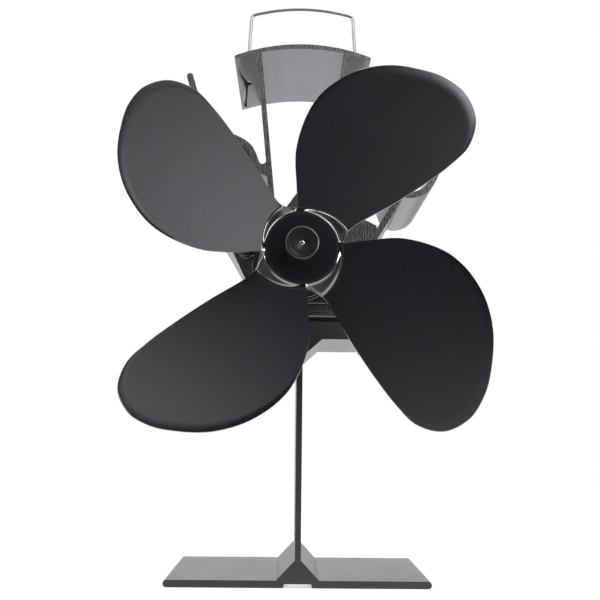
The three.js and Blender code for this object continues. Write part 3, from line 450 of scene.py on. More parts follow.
@dataclass(frozen=True)
class DrawnSteel(TwoTone):
    """Bright metal with long fine lines in one direction and a soft change of gloss."""

    along: Triple = (2600.0, 2600.0, 60.0)
    cloud_cells: float = 130.0

    def pattern(self, g: Graph, here: Value) -> tuple[Value, Value, Value]:
        """Lines stretched along the piece.

        Args:
            g: the material's graph.
            here: the place on the piece, in metres.

        Returns:
            The share of the dark tone, what is added to the roughness, and the height of the relief.
        """
        stretched = g.vector(*(at * cells for at, cells in zip(g.split(here), self.along)))
        lines = g.noise(stretched, detail=3.0)
        cloud = g.noise(here, self.cloud_cells)
        return lines * 0.8 + cloud * 0.3 - 0.1, lines * 0.1 + cloud * 0.08, lines


@dataclass(frozen=True)
class TurnedMetal(TwoTone):
    """Lathe-turned metal with fine rings at every level along Y and on its end faces."""

    light: Triple = (0.76, 0.6, 0.31)
    dark: Triple = (0.55, 0.4, 0.18)
    roughness: float = 0.22
    axis_height: float = 0.1292
    pitch: float = 0.0003
    tarnish_cells: float = 260.0

    def pattern(self, g: Graph, here: Value) -> tuple[Value, Value, Value]:
        """Rings round the axis and along it, with a faint tarnish.

        Args:
            g: the material's graph.
            here: the place on the piece, in metres.

        Returns:
            The share of the dark tone, what is added to the roughness, and the height of the relief.
        """
        x, y, z = g.split(here)
        rings = g.lines(x.hypot(z - self.axis_height) + y, self.pitch)
        tarnish = g.noise(here, self.tarnish_cells, 3.0, 0.6)
        return tarnish * 0.9 + rings * 0.2, rings * 0.1 + tarnish * 0.12, rings


@dataclass(frozen=True)
class PlatedSteel(TwoTone):
    """Plated or coated metal: soft mottling, dulled a little by heat."""

    light: Triple = (0.66, 0.67, 0.69)
    dark: Triple = (0.4, 0.4, 0.4)
    roughness: float = 0.26
    strength: float = 0.4
    mottle_cells: float = 480.0
    pit_cells: float = 2800.0

    def pattern(self, g: Graph, here: Value) -> tuple[Value, Value, Value]:
        """Mottling in colour and gloss, fine pits in the relief.

        Args:
            g: the material's graph.
            here: the place on the piece, in metres.

        Returns:
            The share of the dark tone, what is added to the roughness, and the height of the relief.
        """
        mottle = g.noise(here, self.mottle_cells, 4.0, 0.6)
        pits = g.noise(here, self.pit_cells)
        return mottle.step(0.35, 0.75), mottle * 0.22, pits * 0.6 + mottle * 0.4


@dataclass(frozen=True)
class StackedSteel(TwoTone):
    """Electrical steel sheets stacked along Y."""

    light: Triple = (0.46, 0.47, 0.49)
    dark: Triple = (0.16, 0.16, 0.18)
    roughness: float = 0.34
    relief: float = 0.00003
    strength: float = 0.6
    sheet: float = 0.0005
    grain_cells: float = 1500.0

    def pattern(self, g: Graph, here: Value) -> tuple[Value, Value, Value]:
        """Dark joints between the sheets.

        Args:
            g: the material's graph.
            here: the place on the piece, in metres.

        Returns:
            The share of the dark tone, what is added to the roughness, and the height of the relief.
        """
        in_sheet = g.math("FRACT", g.split(here)[1] / self.sheet)
        joint = (in_sheet - 0.5).size().step(0.36, 0.46)
        grain = g.noise(here, self.grain_cells, 3.0)
        return joint * 0.8 + grain * 0.3, grain * 0.16, 1 - joint


@dataclass(frozen=True)
class Grained(TwoTone):
    """A dull surface with fine grain and slow stains, for fired, pressed, moulded and rubbery pieces."""

    light: Triple = (0.86, 0.85, 0.82)
    dark: Triple = (0.66, 0.64, 0.6)
    roughness: float = 0.6
    metallic: float = 0.0
    specular: float = 0.4
    grain: float = 2200.0
    stain_cells: float = 90.0

    def pattern(self, g: Graph, here: Value) -> tuple[Value, Value, Value]:
        """Grain in colour, gloss and relief.

        Args:
            g: the material's graph.
            here: the place on the piece, in metres.

        Returns:
            The share of the dark tone, what is added to the roughness, and the height of the relief.
        """
        grain = g.noise(here, self.grain, 3.0, 0.6)
        stain = g.noise(here, self.stain_cells, 3.0)
        return grain * 0.5 + stain * 0.7 - 0.1, grain * 0.12, grain


class Finishes:
    """The fan's own finishes."""

    SINK = ExtrudedAluminium("sink_aluminium")
    BASE = ExtrudedAluminium("base_aluminium", face=(0.12, 0.117, 0.124), face_dark=(0.14, 0.137, 0.145),
                             sawn=(0.075, 0.075, 0.079), sawn_light=(0.13, 0.13, 0.136), face_roughness=0.25)
    BEZEL = ExtrudedAluminium("cast_bezel", face=(0.12, 0.12, 0.127), face_dark=(0.085, 0.085, 0.09),
                              sawn=(0.08, 0.08, 0.085), sawn_light=(0.12, 0.12, 0.125),
                              face_roughness=0.3, sawn_roughness=0.34)
    BLADE = TexturedPaint("textured_blade_paint")
    CAP = TurnedPaint("cap_paint")
    WIRE = DrawnSteel("drawn_wire", (0.66, 0.66, 0.67), (0.5, 0.5, 0.51), 0.24, relief=0.000004,
                      along=(700.0, 700.0, 40.0))
    SHAFT = TurnedMetal("ground_shaft", (0.8, 0.8, 0.81), (0.6, 0.6, 0.62), 0.1)
    BRASS = TurnedMetal("turned_brass")
    ZINC = PlatedSteel("zinc_plate")
    OXIDE = PlatedSteel("blackened_steel", (0.1, 0.1, 0.105), (0.045, 0.045, 0.048), 0.24)
    CAN = PlatedSteel("drawn_can", (0.6, 0.61, 0.63), (0.46, 0.46, 0.48), 0.2)
    BIMETAL = DrawnSteel("rolled_bimetal", (0.74, 0.73, 0.7), (0.5, 0.48, 0.43), 0.24,
                         along=(2800.0, 60.0, 2800.0))
    COPPER = PlatedSteel("bare_copper", (0.78, 0.42, 0.25), (0.5, 0.24, 0.13), 0.24)
    ENAMEL = PlatedSteel("enamelled_copper", (0.62, 0.25, 0.11), (0.4, 0.14, 0.06), 0.18)
    CORE = StackedSteel("stacked_steel")
    FERRITE = Grained("sintered_ferrite", (0.035, 0.033, 0.033), (0.02, 0.019, 0.019), 0.55)
    CERAMIC = Grained("fired_alumina", roughness=0.5)
    GRAPHITE = Grained("pressed_graphite", (0.07, 0.07, 0.074), (0.035, 0.035, 0.038), 0.45, metallic=0.3)
    SEALANT = Grained("cured_sealant", (0.02, 0.02, 0.02), (0.012, 0.012, 0.012), 0.4, grain=700.0,
                      relief=0.00008)
    PLASTIC = Grained("moulded_plastic", (0.03, 0.031, 0.033), (0.02, 0.0205, 0.022), 0.38)
    RED = Grained("red_insulation", (0.42, 0.022, 0.018), (0.3, 0.014, 0.012), 0.36, grain=1400.0)
    BLACK = Grained("black_insulation", (0.018, 0.018, 0.018), (0.01, 0.01, 0.01), 0.36, grain=1400.0)


# Meshes


def around(count: int) -> list[float]:
    """Even angles round a full turn."""
    return [FULL_TURN * i / count for i in range(count)]


def eased(at: float, low: float, high: float) -> float:
    """Smooth step from 0 at low to 1 at high."""
    share = min(1.0, max(0.0, (at - low) / (high - low)))
    return share * share * (3 - 2 * share)


def linked(name: str, data: bpy.types.ID) -> bpy.types.Object:
    """Puts a mesh, lamp or camera in the scene.

    Args:
        name: the object's name.
        data: the mesh, lamp or camera.

    Returns:
        The new object.
    """
    made = bpy.data.objects.new(name, data)
    bpy.context.scene.collection.objects.link(made)
    return made


def mesh_object(name: str, points: Sequence[Vector] = (),
                faces: Sequence[tuple[int, ...]] = ()) -> bpy.types.Object:
    """Makes a mesh object at the origin.

    Args:
        name: the object's name.
        points: its points, in metres.
        faces: the numbers of each face's points.

    Returns:
        The new object.
    """
    mesh = bpy.data.meshes.new(name)
    mesh.from_pydata(points, [], faces)
    return linked(name, mesh)


def with_mesh(made: bpy.types.Object, change: Callable[[bmesh.types.BMesh], None]) -> None:
    """Changes an object's mesh through bmesh.

    Args:
        made: the object.
        change: what is done to its bmesh.
    """
    shape = bmesh.new()
    shape.from_mesh(made.data)
    change(shape)
    shape.to_mesh(made.data)
    shape.free()
    made.data.update()


def face_outwards(made: bpy.types.Object) -> None:
    """Turns every face of a closed mesh outwards."""
    with_mesh(made, lambda shape: bmesh.ops.recalc_face_normals(shape, faces=shape.faces))


def soften(made: bpy.types.Object, soft_angle: float = SOFT_ANGLE) -> None:
    """Shades faces that meet at less than an angle, in degrees, as one surface."""
    made.data.polygons.foreach_set("use_smooth", [True] * len(made.data.polygons))
    made.data.set_sharp_from_angle(angle=math.radians(soft_angle))


@dataclass(frozen=True)
class Box:
    """The box of a CAD node, in millimetres."""

    low: Vector
    high: Vector

    @classmethod
    def of(cls, node: str) -> "Box":
        """The box of a CAD node."""
        low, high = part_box(node)
        return cls(low / MM, high / MM)

    @property
    def centre(self) -> Vector:
        """The box's middle."""
        return (self.low + self.high) / 2

    @property
    def size(self) -> Vector:
        """The box's width, depth and height."""
        return self.high - self.low

    @property
    def radius(self) -> float:
        """Half the box's width."""
        return self.size.x / 2


class Axis(Enum):
    """The direction that a turned piece is turned about."""

    ALONG = "y"
    UPRIGHT = "z"

    def at(self, radius: float, angle: float, along: float, centre: Vector) -> Vector:
        """A point at a radius and angle from the axis.

        Args:
            radius: distance from the axis.
            angle: angle round it.
            along: level along it.
            centre: any point of the axis; its own level isn't used.

        Returns:
            The point.
        """
        across, up = radius * math.cos(angle), radius * math.sin(angle)
        if self is Axis.ALONG:
            return Vector((centre.x + across, along, centre.z + up))
        return Vector((centre.x + across, centre.y + up, along))


class Outline(Enum):
    """The outline of a turned piece's ring."""

    ROUND = "round"
    HEXAGON = "hexagon"
    CROSS = "cross"

    def share(self, angle: float) -> float:
        """Radius of the outline at an angle.

        Args:
            angle: the angle.

        Returns:
            The radius as a share of the largest one.
        """
        if self is Outline.HEXAGON:
            sixth = FULL_TURN / 6
            return math.cos(sixth / 2) / math.cos(angle % sixth - sixth / 2)
        if self is Outline.CROSS:
            quarter, wing = FULL_TURN / 4, 0.2
            side = abs(math.sin((angle + quarter / 2) % quarter - quarter / 2))
            return min(1.0, wing / max(side, 0.001))
        return 1.0


Turn = Pair | tuple[float, float, Outline]


def scaled(shares: Sequence[Pair], radius: float, level: float, way: int = 1) -> list[Pair]:
    """Profile points from shares of a radius and distances behind a level, or before it where way is -1."""
    return [(share * radius, level + way * inset) for share, inset in shares]


@dataclass
class Draft:
    """Points and faces of a mesh while it is drawn, in millimetres."""

    points: list[Vector] = field(default_factory=list)
    faces: list[tuple[int, ...]] = field(default_factory=list)

    def loft(self, rings: Sequence[Sequence[Vector]], closed: bool = False) -> "Draft":
        """Joins rings of points into a skin; a ring of one point closes it to a pole.

        Args:
            rings: the rings, each with as many points as the others, or with one.
            closed: whether the last ring joins the first.

        Returns:
            The draft itself.
        """
        numbered = []
        for ring in rings:
            numbered.append(list(range(len(self.points), len(self.points) + len(ring))))
            self.points.extend(ring)
        followers = numbered[1:] + numbered[:1] if closed else numbered[1:]
        for near, far in zip(numbered, followers):
            count = max(len(near), len(far))
            for i in range(count):
                j = (i + 1) % count
                corners = (near[i % len(near)], near[j % len(near)], far[j % len(far)], far[i % len(far)])
                face = tuple(dict.fromkeys(corners))
                if len(face) > 2:
                    self.faces.append(face)
        return self

    def turn(self, profile: Sequence[Turn], axis: Axis, centre: Vector, sides: int,
             closed: bool = False) -> "Draft":
        """Turns a profile about an axis.

        Args:
            profile: radius, level along the axis and, where it isn't round, the outline of each ring.
            axis: the axis's direction.
            centre: a point of the axis.
            sides: points of each ring.
            closed: whether the profile closes on itself, as for a tube.

        Returns:
            The draft itself.
        """
        rings = []
        for radius, along, *rest in profile:
            outline = rest[0] if rest else Outline.ROUND
            rings.append([axis.at(radius * outline.share(angle), angle, along, centre)
                          for angle in around(sides if radius else 1)])
        return self.loft(rings, closed)

    def sweep(self, line: Sequence[Vector], radius: float, sides: int) -> "Draft":
        """A round rod along a line, with slightly rounded ends.

        Args:
            line: the rod's middle line.
            radius: its radius.
            sides: points round it.

        Returns:
            The draft itself.
        """
        last = len(line) - 1
        ahead = [(line[min(i + 1, last)] - line[max(i - 1, 0)]).normalized() for i in range(last + 1)]
        across = ahead[0].orthogonal().normalized()
        rounding = [(0.0, 0.0), (0.72, 0.02), (0.93, 0.09), (1.0, 0.24)]
        rings = []
        for i, (middle, forward) in enumerate(zip(line, ahead)):
            across = (across - forward * across.dot(forward)).normalized()
            over = forward.cross(across)
            inwards = {0: 1, last: -1}.get(i, 0)
            for share, inset in rounding[::inwards] if inwards else [(1.0, 0.0)]:
                start = middle + forward * (inset * radius * inwards)
                rings.append([start + (across * math.cos(angle) + over * math.sin(angle)) * (radius * share)
                              for angle in around(sides if share else 1)])
        return self.loft(rings)

    def piece(self, name: str, soft_angle: float = SOFT_ANGLE) -> bpy.types.Object:
        """The draft as a Blender object at the origin.

        Args:
            name: the object's name.
            soft_angle: faces that meet at less than this many degrees are shaded as one surface.

        Returns:
            The object, its mesh in metres with its faces turned outwards.
        """
        made = mesh_object(name, [point * MM for point in self.points], self.faces)
        face_outwards(made)
        soften(made, soft_angle)
        return made


def smooth_line(corners: Sequence[Vector], steps: int, closed: bool = False) -> list[Vector]:
    """Points on the centripetal spline through some corners, as the CAD draws it.

    Args:
        corners: the points that it passes through.
        steps: number of equal steps from the first corner to the last, or round to the first.
        closed: whether it closes on itself.

    Returns:
        One point for each step, and the end of an open line.
    """
    count = len(corners)
    spans = count if closed else count - 1

    def corner(i: int) -> Vector:
        """A corner, or one more in line with an open end.

        Args:
            i: the corner's number, from -1 to one past the last.

        Returns:
            Its place.
        """
        if closed:
            return corners[i % count]
        if i < 0:
            return corners[0] * 2 - corners[1]
        return corners[-1] * 2 - corners[-2] if i >= count else corners[i]

    made = []
    for step in range(steps if closed else steps + 1):
        at = spans * step / steps
        i = min(int(at), spans - 1)
        share = at - i
        a, b, c, d = corner(i - 1), corner(i), corner(i + 1), corner(i + 2)
        before, span, after = (max((q - p).length ** 0.5, 0.0001) for p, q in ((a, b), (b, c), (c, d)))
        leave = ((b - a) / before - (c - a) / (before + span) + (c - b) / span) * span
        reach = ((c - b) / span - (d - b) / (span + after) + (d - c) / after) * span
        made.append(b + leave * share + (c * 3 - b * 3 - leave * 2 - reach) * share ** 2
                    + (b * 2 - c * 2 + leave + reach) * share ** 3)
    return made


@dataclass(frozen=True)
class BrokenEdges:
    """How the sharp edges of a CAD node's copy are broken. Widths are in millimetres, angles in degrees."""

    chamfer: float
    drawn_corner: float = 0.0
    sharp: float = 50.0
    outer: float = 62.0
    flat: float = 0.5
    nearly_along: float = 0.999
    merge_within: float = 0.002

    def is_drawn(self, edge: bmesh.types.BMEdge) -> bool:
        """Whether an edge is an outer corner along Y.

        Args:
            edge: the edge.

        Returns:
            True where it is one, and turns by enough to be rounded.
        """
        if len(edge.link_faces) != 2 or edge.calc_face_angle_signed(0.0) <= math.radians(self.outer):
            return False
        return abs((edge.verts[1].co - edge.verts[0].co).normalized().y) > self.nearly_along

    def is_sharp(self, edge: bmesh.types.BMEdge) -> bool:
        """Whether two faces meet sharply at an edge."""
        return len(edge.link_faces) == 2 and edge.calc_face_angle(0.0) > math.radians(self.sharp)

    @staticmethod
    def bevel(shape: bmesh.types.BMesh, test: Callable[[bmesh.types.BMEdge], bool], width: float,
              segments: int) -> None:
        """Breaks the edges that pass a test, by a width, in some segments.

        Args:
            shape: the shape, changed in place.
            test: picks the edges.
            width: in millimetres.
            segments: faces across each broken edge.
        """
        bmesh.ops.bevel(shape, geom=[edge for edge in shape.edges if test(edge)], offset=width * MM,
                        offset_type="OFFSET", segments=segments, profile=0.5, affect="EDGES",
                        clamp_overlap=segments == 1)

    def apply(self, shape: bmesh.types.BMesh) -> None:
        """Merges points, joins coplanar faces and breaks the edges of a shape.

        Args:
            shape: the shape.
        """
        bmesh.ops.remove_doubles(shape, verts=shape.verts, dist=self.merge_within * MM)
        bmesh.ops.dissolve_limit(shape, angle_limit=math.radians(self.flat), verts=shape.verts,
                                 edges=shape.edges)
        if self.drawn_corner:
            self.bevel(shape, self.is_drawn, self.drawn_corner, 3)
        self.bevel(shape, self.is_sharp, self.chamfer, 1)
        bmesh.ops.triangulate(shape, faces=[face for face in shape.faces if len(face.verts) > 4])


# Geometry Nodes


class Recipe(Graph):
    """A Geometry Nodes tree with named inputs, run once on a piece and then taken off."""

    def __init__(self, name: str) -> None:
        """Starts an empty recipe.

        Args:
            name: the tree's name.
        """
        super().__init__(bpy.data.node_groups.new(name, "GeometryNodeTree"))
        for way in ("INPUT", "OUTPUT"):
            self.tree.interface.new_socket("Geometry", in_out=way, socket_type="NodeSocketGeometry")
        self.entry = self.node("NodeGroupInput")
        self.start = self.out(self.entry, "Geometry")
        self.given: dict[str, float | int] = {}

    def sizes(self, given: Mapping[str, float | int]) -> list[Value]:
        """Adds named inputs.

        Args:
            given: each one's name and value, a whole number for a count and in metres for a length.

        Returns:
            The inputs' values inside the tree.
        """
        for name, value in given.items():
            kind = "NodeSocketInt" if isinstance(value, int) else "NodeSocketFloat"
            socket = self.tree.interface.new_socket(name, in_out="INPUT", socket_type=kind)
            self.given[socket.identifier] = value
        return [self.out(self.entry, name) for name in given]

    def copies(self, points: Value, shape: Value, rotation: Value | None = None) -> Value:
        """Instances of a shape on points, with a rotation where one is given."""
        turned = {} if rotation is None else {"Rotation": rotation}
        return self.add("GeometryNodeInstanceOnPoints", {"Points": points, "Instance": shape, **turned})

    def on_line(self, shape: Value, count: Value | int, start: Value, end: Value) -> Value:
        """Copies of a shape at even steps from one place to another."""
        ends = {"Count": count, "Start Location": start, "Offset": end}
        return self.copies(self.add("GeometryNodeMeshLine", ends, {"mode": "END_POINTS"}), shape)

    def round_axis(self, shape: Value, count: Value, first: float, height: Value) -> Value:
        """Copies of a shape at even angles round an axis along Y.

        Args:
            shape: the shape, drawn about the origin.
            count: number of copies.
            first: angle of the first copy from +X, in radians, as seen from the front.
            height: level of the axis.

        Returns:
            The copies.
        """
        angle = (self.add("GeometryNodeInputIndex") * FULL_TURN / count + first) * -1.0
        turn = self.add("FunctionNodeAxisAngleToRotation", {"Axis": (0.0, 1.0, 0.0), "Angle": angle})
        place = {"Count": count, "Position": self.vector(0.0, 0.0, height)}
        return self.copies(self.add("GeometryNodePoints", place), shape, turn)

    def run(self, made: bpy.types.Object, geometry: Value, finish: Finish, soft_angle: float = SOFT_ANGLE,
            merge: float = 0.0) -> None:
        """Ends the tree, bakes it into the piece's mesh, removes the modifier and softens the shading.

        Args:
            made: the piece.
            geometry: the last geometry.
            finish: the finish of all of it.
            soft_angle: faces that meet at less than this many degrees are shaded as one surface.
            merge: points closer than this many metres are merged and the faces turned outwards.
        """
        real = self.add("GeometryNodeRealizeInstances", {"Geometry": geometry})
        if merge:
            real = self.add("GeometryNodeMergeByDistance", {"Geometry": real, "Distance": merge})
        dressed = self.add("GeometryNodeSetMaterial", {"Geometry": real, "Material": finish.material()})
        self.node("NodeGroupOutput", {"Geometry": dressed})
        modifier = made.modifiers.new(self.tree.name, "NODES")
        modifier.node_group = self.tree
        for identifier, given in self.given.items():
            modifier[identifier] = given
        depsgraph = bpy.context.evaluated_depsgraph_get()
        baked = bpy.data.meshes.new_from_object(made.evaluated_get(depsgraph), depsgraph=depsgraph)
        made.modifiers.remove(modifier)
        made.data = baked
        if merge:
            face_outwards(made)
        soften(made, soft_angle)


# Sub-assemblies


class SubAssembly:
    """Some pieces of the fan that belong together."""

    def build(self) -> None:
        """Makes the pieces and dresses them."""
        raise NotImplementedError

    @staticmethod
    def keep(piece: bpy.types.Object, body: str, slot: str, finish: Finish | None, *nodes: str) -> None:
        """Sets a finished piece on its body.

        Args:
            piece: the piece.
            body: the CAD body that it moves with.
            slot: a material slot's name; not used.
            finish: its finish, or None where its mesh has one.
            nodes: the CAD nodes that it stands for.
        """
        if finish is not None:
            piece.data.materials.clear()
            piece.data.materials.append(finish.material())
        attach(piece, body)
        if nodes:
            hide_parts(*nodes)
        LOG.info("%s on %s: %d faces", piece.name, body, len(piece.data.polygons))

    @staticmethod
    def dress(finish: Finish, *nodes: str) -> None:
        """Gives CAD nodes that stay a finish.

        Args:
            finish: the finish.
            nodes: the nodes.
        """
        for node in nodes:
            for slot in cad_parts[node].material_slots:
                slot.material = finish.material()
            LOG.info("%s dressed in %s", node, finish.label)

    def turned(self, name: str, node: str, body: str, slot: str, finish: Finish, profile: Sequence[Turn],
               sides: int, axis: Axis = Axis.ALONG, closed: bool = True) -> None:
        """Turns a piece about the middle of the CAD node that it stands for, and keeps it."""
        draft = Draft().turn(profile, axis, Box.of(node).centre, sides, closed)
        self.keep(draft.piece(name), body, slot, finish, node)

    def refined(self, name: str, node: str, body: str, slot: str, finish: Finish, edges: BrokenEdges) -> None:
        """Copies a CAD node and breaks its edges.

        Args:
            name: the piece's name.
            node: the CAD node.
            body: the CAD body that it moves with.
            slot: the material slot's name.
            finish: its finish.
            edges: how its edges are broken.
        """
        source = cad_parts[node].data
        made = mesh_object(name, [v.co.copy() for v in source.vertices],
                           [tuple(p.vertices) for p in source.polygons])
        with_mesh(made, edges.apply)
        soften(made)
        self.keep(made, body, slot, finish, node)


@dataclass
class Profiles(SubAssembly):
    """The two aluminium extrusions and the bezel, with their edges broken."""

    saw_burr: float = 0.16
    bezel_edge: float = 0.22
    drawn_corner: float = 0.7

    def build(self) -> None:
        """Copies the three profiles from the CAD."""
        sawn = BrokenEdges(self.saw_burr, self.drawn_corner)
        cast = BrokenEdges(self.bezel_edge)
        for name, node, finish, edges in (("base_profile", "base_extrusion", Finishes.BASE, sawn),
                                          ("heat_sink_profile", "heat_sink", Finishes.SINK, sawn),
                                          ("bezel_plate", "motor_bezel", Finishes.BEZEL, cast)):
            self.refined(name, node, "stand", "extrusion", finish, edges)


@dataclass
class FanWheel(SubAssembly):
    """The pressed impeller with its bush, grub screw, cap and shaft."""

    tip_radius: float = 87.6
    thickness: float = 1.2
    set_back: float = 1.3
    blades: int = 4
    columns: int = 108
    root_rings: int = 20
    blade_rings: int = 16
    hole_radius: float = 3.3
    flat_radius: float = 14.2
    cone_slope: float = 1.15
    cone_least: float = 0.3
    cone_passes: int = 6
    crease: float = 0.75
    crease_fall: float = 1.6
    turn_share: float = 0.56
    centre_share: float = 0.594
    rake_share: float = 0.104
    pitch_share: float = 0.371
    twist_share: float = 0.189
    hollow_share: float = 0.137
    droop_share: float = 0.11
    blade_shares: tuple[Pair, ...] = (
        (0.218, -0.1), (0.425, -0.169), (0.594, -0.218), (0.739, -0.25), (0.852, -0.258), (0.953, -0.208),
        (0.994, -0.107), (0.976, 0.0), (0.93, 0.09), (0.82, 0.226), (0.678, 0.317), (0.499, 0.352),
        (0.307, 0.292), (0.18, 0.183))
    gap_shares: tuple[Pair, ...] = ((0.121, 0.13), (0.115, 0.147), (0.104, 0.177))
    hub_shares: tuple[float, ...] = (0.0, 0.3, 0.6, 0.85, 0.97)
    nose_shares: tuple[Pair, ...] = ((0.55, 0.84), (0.86, 0.5), (1.0, 0.0), (0.86, -0.5), (0.55, -0.84))
    edge_round: float = 0.42
    merge_within: float = 0.004
    sheet_angle: float = 50.0
    cap_bore: float = 1.08
    cap_depth: float = 6.0
    cap_front_shares: tuple[Pair, ...] = (
        (0.62, 0.22), (0.72, 0.16), (0.79, 0.02), (0.83, 0.0), (0.88, 0.0), (0.93, 0.08), (0.97, 0.3),
        (0.99, 0.62), (1.0, 1.05))
    cap_rear_shares: tuple[Pair, ...] = (
        (1.0, 1.1), (0.985, 1.0), (0.985, 0.8), (1.0, 0.7), (1.0, 0.12), (0.985, 0.0))
    shaft_shares: tuple[Pair, ...] = (
        (0.0, 0.0), (0.35, 0.03), (0.62, 0.1), (0.82, 0.22), (0.94, 0.36), (1.0, 0.55))
    bush_bore: float = 1.05
    bush_spigot: float = 3.0
    bush_barrel: float = 4.4
    bush_flange: float = 1.5
    grub_radius: float = 1.5

    def build(self) -> None:
        """Makes every piece that turns outside the motor."""
        self.build_impeller()
        self.build_cap()
        self.build_shaft()
        self.build_bush()

    def depth_on_blade(self, along: float, across: float) -> float:
        """How far behind the hub's face the middle of the sheet lies.

        Args:
            along: distance out along the blade's own line.
            across: distance across it.

        Returns:
            The depth.
        """
        out = along - self.tip_radius * self.centre_share
        pitch = self.pitch_share + self.twist_share * out / self.tip_radius
        curl = (self.hollow_share * across ** 2 + self.droop_share * out ** 2) / self.tip_radius
        return self.set_back - self.rake_share * out - pitch * across - curl

    def depth_round(self, radius: float, angle: float) -> float:
        """Depth of the blades, with the gap between two of them bridged.

        Args:
            radius: distance from the axis.
            angle: angle from the blade's own line.

        Returns:
            The depth behind the hub's face.
        """
        first, last = self.blade_shares[0], self.blade_shares[-1]
        trailing, leading = math.atan2(first[1], first[0]), math.atan2(last[1], last[0])

        def at(a: float) -> float:
            """Depth of the blade's own surface at an angle."""
            return self.depth_on_blade(radius * math.cos(a), radius * math.sin(a))

        if angle <= leading:
            return at(angle)
        across = eased(angle, leading, trailing + FULL_TURN / self.blades)
        return at(leading) + (at(trailing) - at(leading)) * across

    def cone_foot(self, angle: float) -> float:
        """Where the pressed cone round the hub meets the blades.

        Args:
            angle: angle from the blade's own line.

        Returns:
            The radius.
        """
        foot = self.flat_radius
        for _ in range(self.cone_passes):
            rise = self.depth_round(foot, angle) - self.thickness / 2
            foot = self.flat_radius + rise / self.cone_slope
        return max(foot, self.flat_radius + self.cone_least)

    def depth(self, radius: float, angle: float) -> float:
        """Depth of the sheet's middle: flat face, cone and blade, with rounded creases between them.

        Args:
            radius: distance from the axis.
            angle: angle from the blade's own line.

        Returns:
            The depth behind the hub's face.
        """
        out = radius - self.flat_radius
        bend = out if out > self.crease else max(out + self.crease, 0.0) ** 2 / (4 * self.crease)
        cone = self.thickness / 2 + self.cone_slope * bend
        if out < -self.crease:
            return cone
        blade = self.depth_round(radius, angle)
        soft = self.cone_slope * self.crease
        overlap = max(soft - abs(cone - blade), 0.0)
        return min(cone, blade) - overlap ** 2 / (4 * soft) * eased(out, -self.crease, self.crease)

    def edge(self) -> list[Pair]:
        """The sheet's edge along one blade, up to the next blade's first column.

        Returns:
            Angle and radius at each column.
        """
        corners = []
        for angle in around(self.blades):
            turn = Matrix.Rotation(angle, 3, "Z")
            corners += [turn @ Vector((u, v, 0.0)) for u, v in self.blade_shares + self.gap_shares]
        line = smooth_line(corners, self.columns * self.blades, closed=True)[:self.columns]
        edge = [(math.atan2(p.y, p.x), p.length * self.tip_radius) for p in line]
        return edge + [(edge[0][0] + FULL_TURN / self.blades, edge[0][1])]

    def section(self, angle: float, edge_radius: float) -> list[Triple]:
        """The closed line round the sheet's section in one column.

        Args:
            angle: the column's angle from the blade's own line.
            edge_radius: radius at which the sheet ends.

        Returns:
            Radius, height above the sheet's middle and share of the painted highlight at each point.
        """
        inset = self.edge_round
        end = edge_radius - inset
        start = self.flat_radius - self.crease
        meeting = self.cone_foot(angle)
        foot = min(meeting + 2 * self.crease, end - self.crease / 4)
        hub = [self.hole_radius + (start - self.hole_radius) * share for share in self.hub_shares]
        root = [start + (foot - start) * i / self.root_rings for i in range(self.root_rings + 1)]
        blade = [foot + (end - foot) * (i + 1) / self.blade_rings for i in range(self.blade_rings)]
        radii = hub + root + blade
        half = self.thickness / 2

        def highlight_share(r: float) -> float:
            """Share of the painted highlight on the front at the two creases."""
            near = min(abs(r - self.flat_radius), abs(r - meeting)) / self.crease
            return math.exp(-(self.crease_fall * near) ** 2)

        return ([(r, -half, highlight_share(r)) for r in radii]
                # The sheet's rounded edge takes the full painted highlight.
                + [(end + inset * out, -half * lift, 1.0) for out, lift in self.nose_shares]
                + [(r, half, 0.0) for r in reversed(radii)])

    def build_impeller(self) -> None:
        """Draws one blade's sector and lets a recipe repeat it round the hub."""
        face = Box.of("hub_cap").high.y
        columns, shine = [], []
        for angle, edge_radius in self.edge():
            section = self.section(angle, edge_radius)
            columns.append([Axis.ALONG.at(radius, angle, face + self.depth(radius, angle) + lift, ORIGIN)
                            for radius, lift, _ in section])
            shine += [highlight_share for _, _, highlight_share in section]
        made = Draft().loft(columns).piece("impeller_sheet", self.sheet_angle)
        # The painted highlight's share goes onto the mesh for the blade paint.
        made.data.attributes.new(HIGHLIGHT_ATTRIBUTE, "FLOAT", "POINT").data.foreach_set("value", shine)
        recipe = Recipe("blades_round_the_hub")
        count, height = recipe.sizes({"Blades": self.blades, "Axis Height": axis_height() * MM})
        wheel = recipe.round_axis(recipe.start, count, self.turn_share * FULL_TURN / self.blades, height)
        recipe.run(made, wheel, Finishes.BLADE, self.sheet_angle, self.merge_within * MM)
        self.keep(made, "fan_wheel", "blade_paint", None, "impeller")

    def build_cap(self) -> None:
        """The cap: rounded front edge, a shallow dish round the shaft and a thin foot line."""
        box, bore = Box.of("hub_cap"), self.cap_bore
        front, rear = box.low.y, box.high.y
        inner = rear - self.cap_depth
        profile = [
            (bore, front + 0.9), (bore, front + 0.42), (bore + 0.22, front + 0.3),
            *scaled(self.cap_front_shares, box.radius, front),
            *scaled(self.cap_rear_shares, box.radius, rear, -1),
            (self.hole_radius, rear), (self.hole_radius, inner), (bore, inner),
        ]
        self.turned("hub_cap_turned", "hub_cap", "fan_wheel", "cap_black", Finishes.CAP, profile, 96)

    def build_shaft(self) -> None:
        """The ground shaft with domed ends."""
        box = Box.of("motor_shaft")
        front = scaled(self.shaft_shares, box.radius, box.low.y)
        rear = scaled(self.shaft_shares[::-1], box.radius, box.high.y, -1)
        self.turned("shaft_ground", "motor_shaft", "fan_wheel", "stainless", Finishes.SHAFT, front + rear, 48,
                    closed=False)

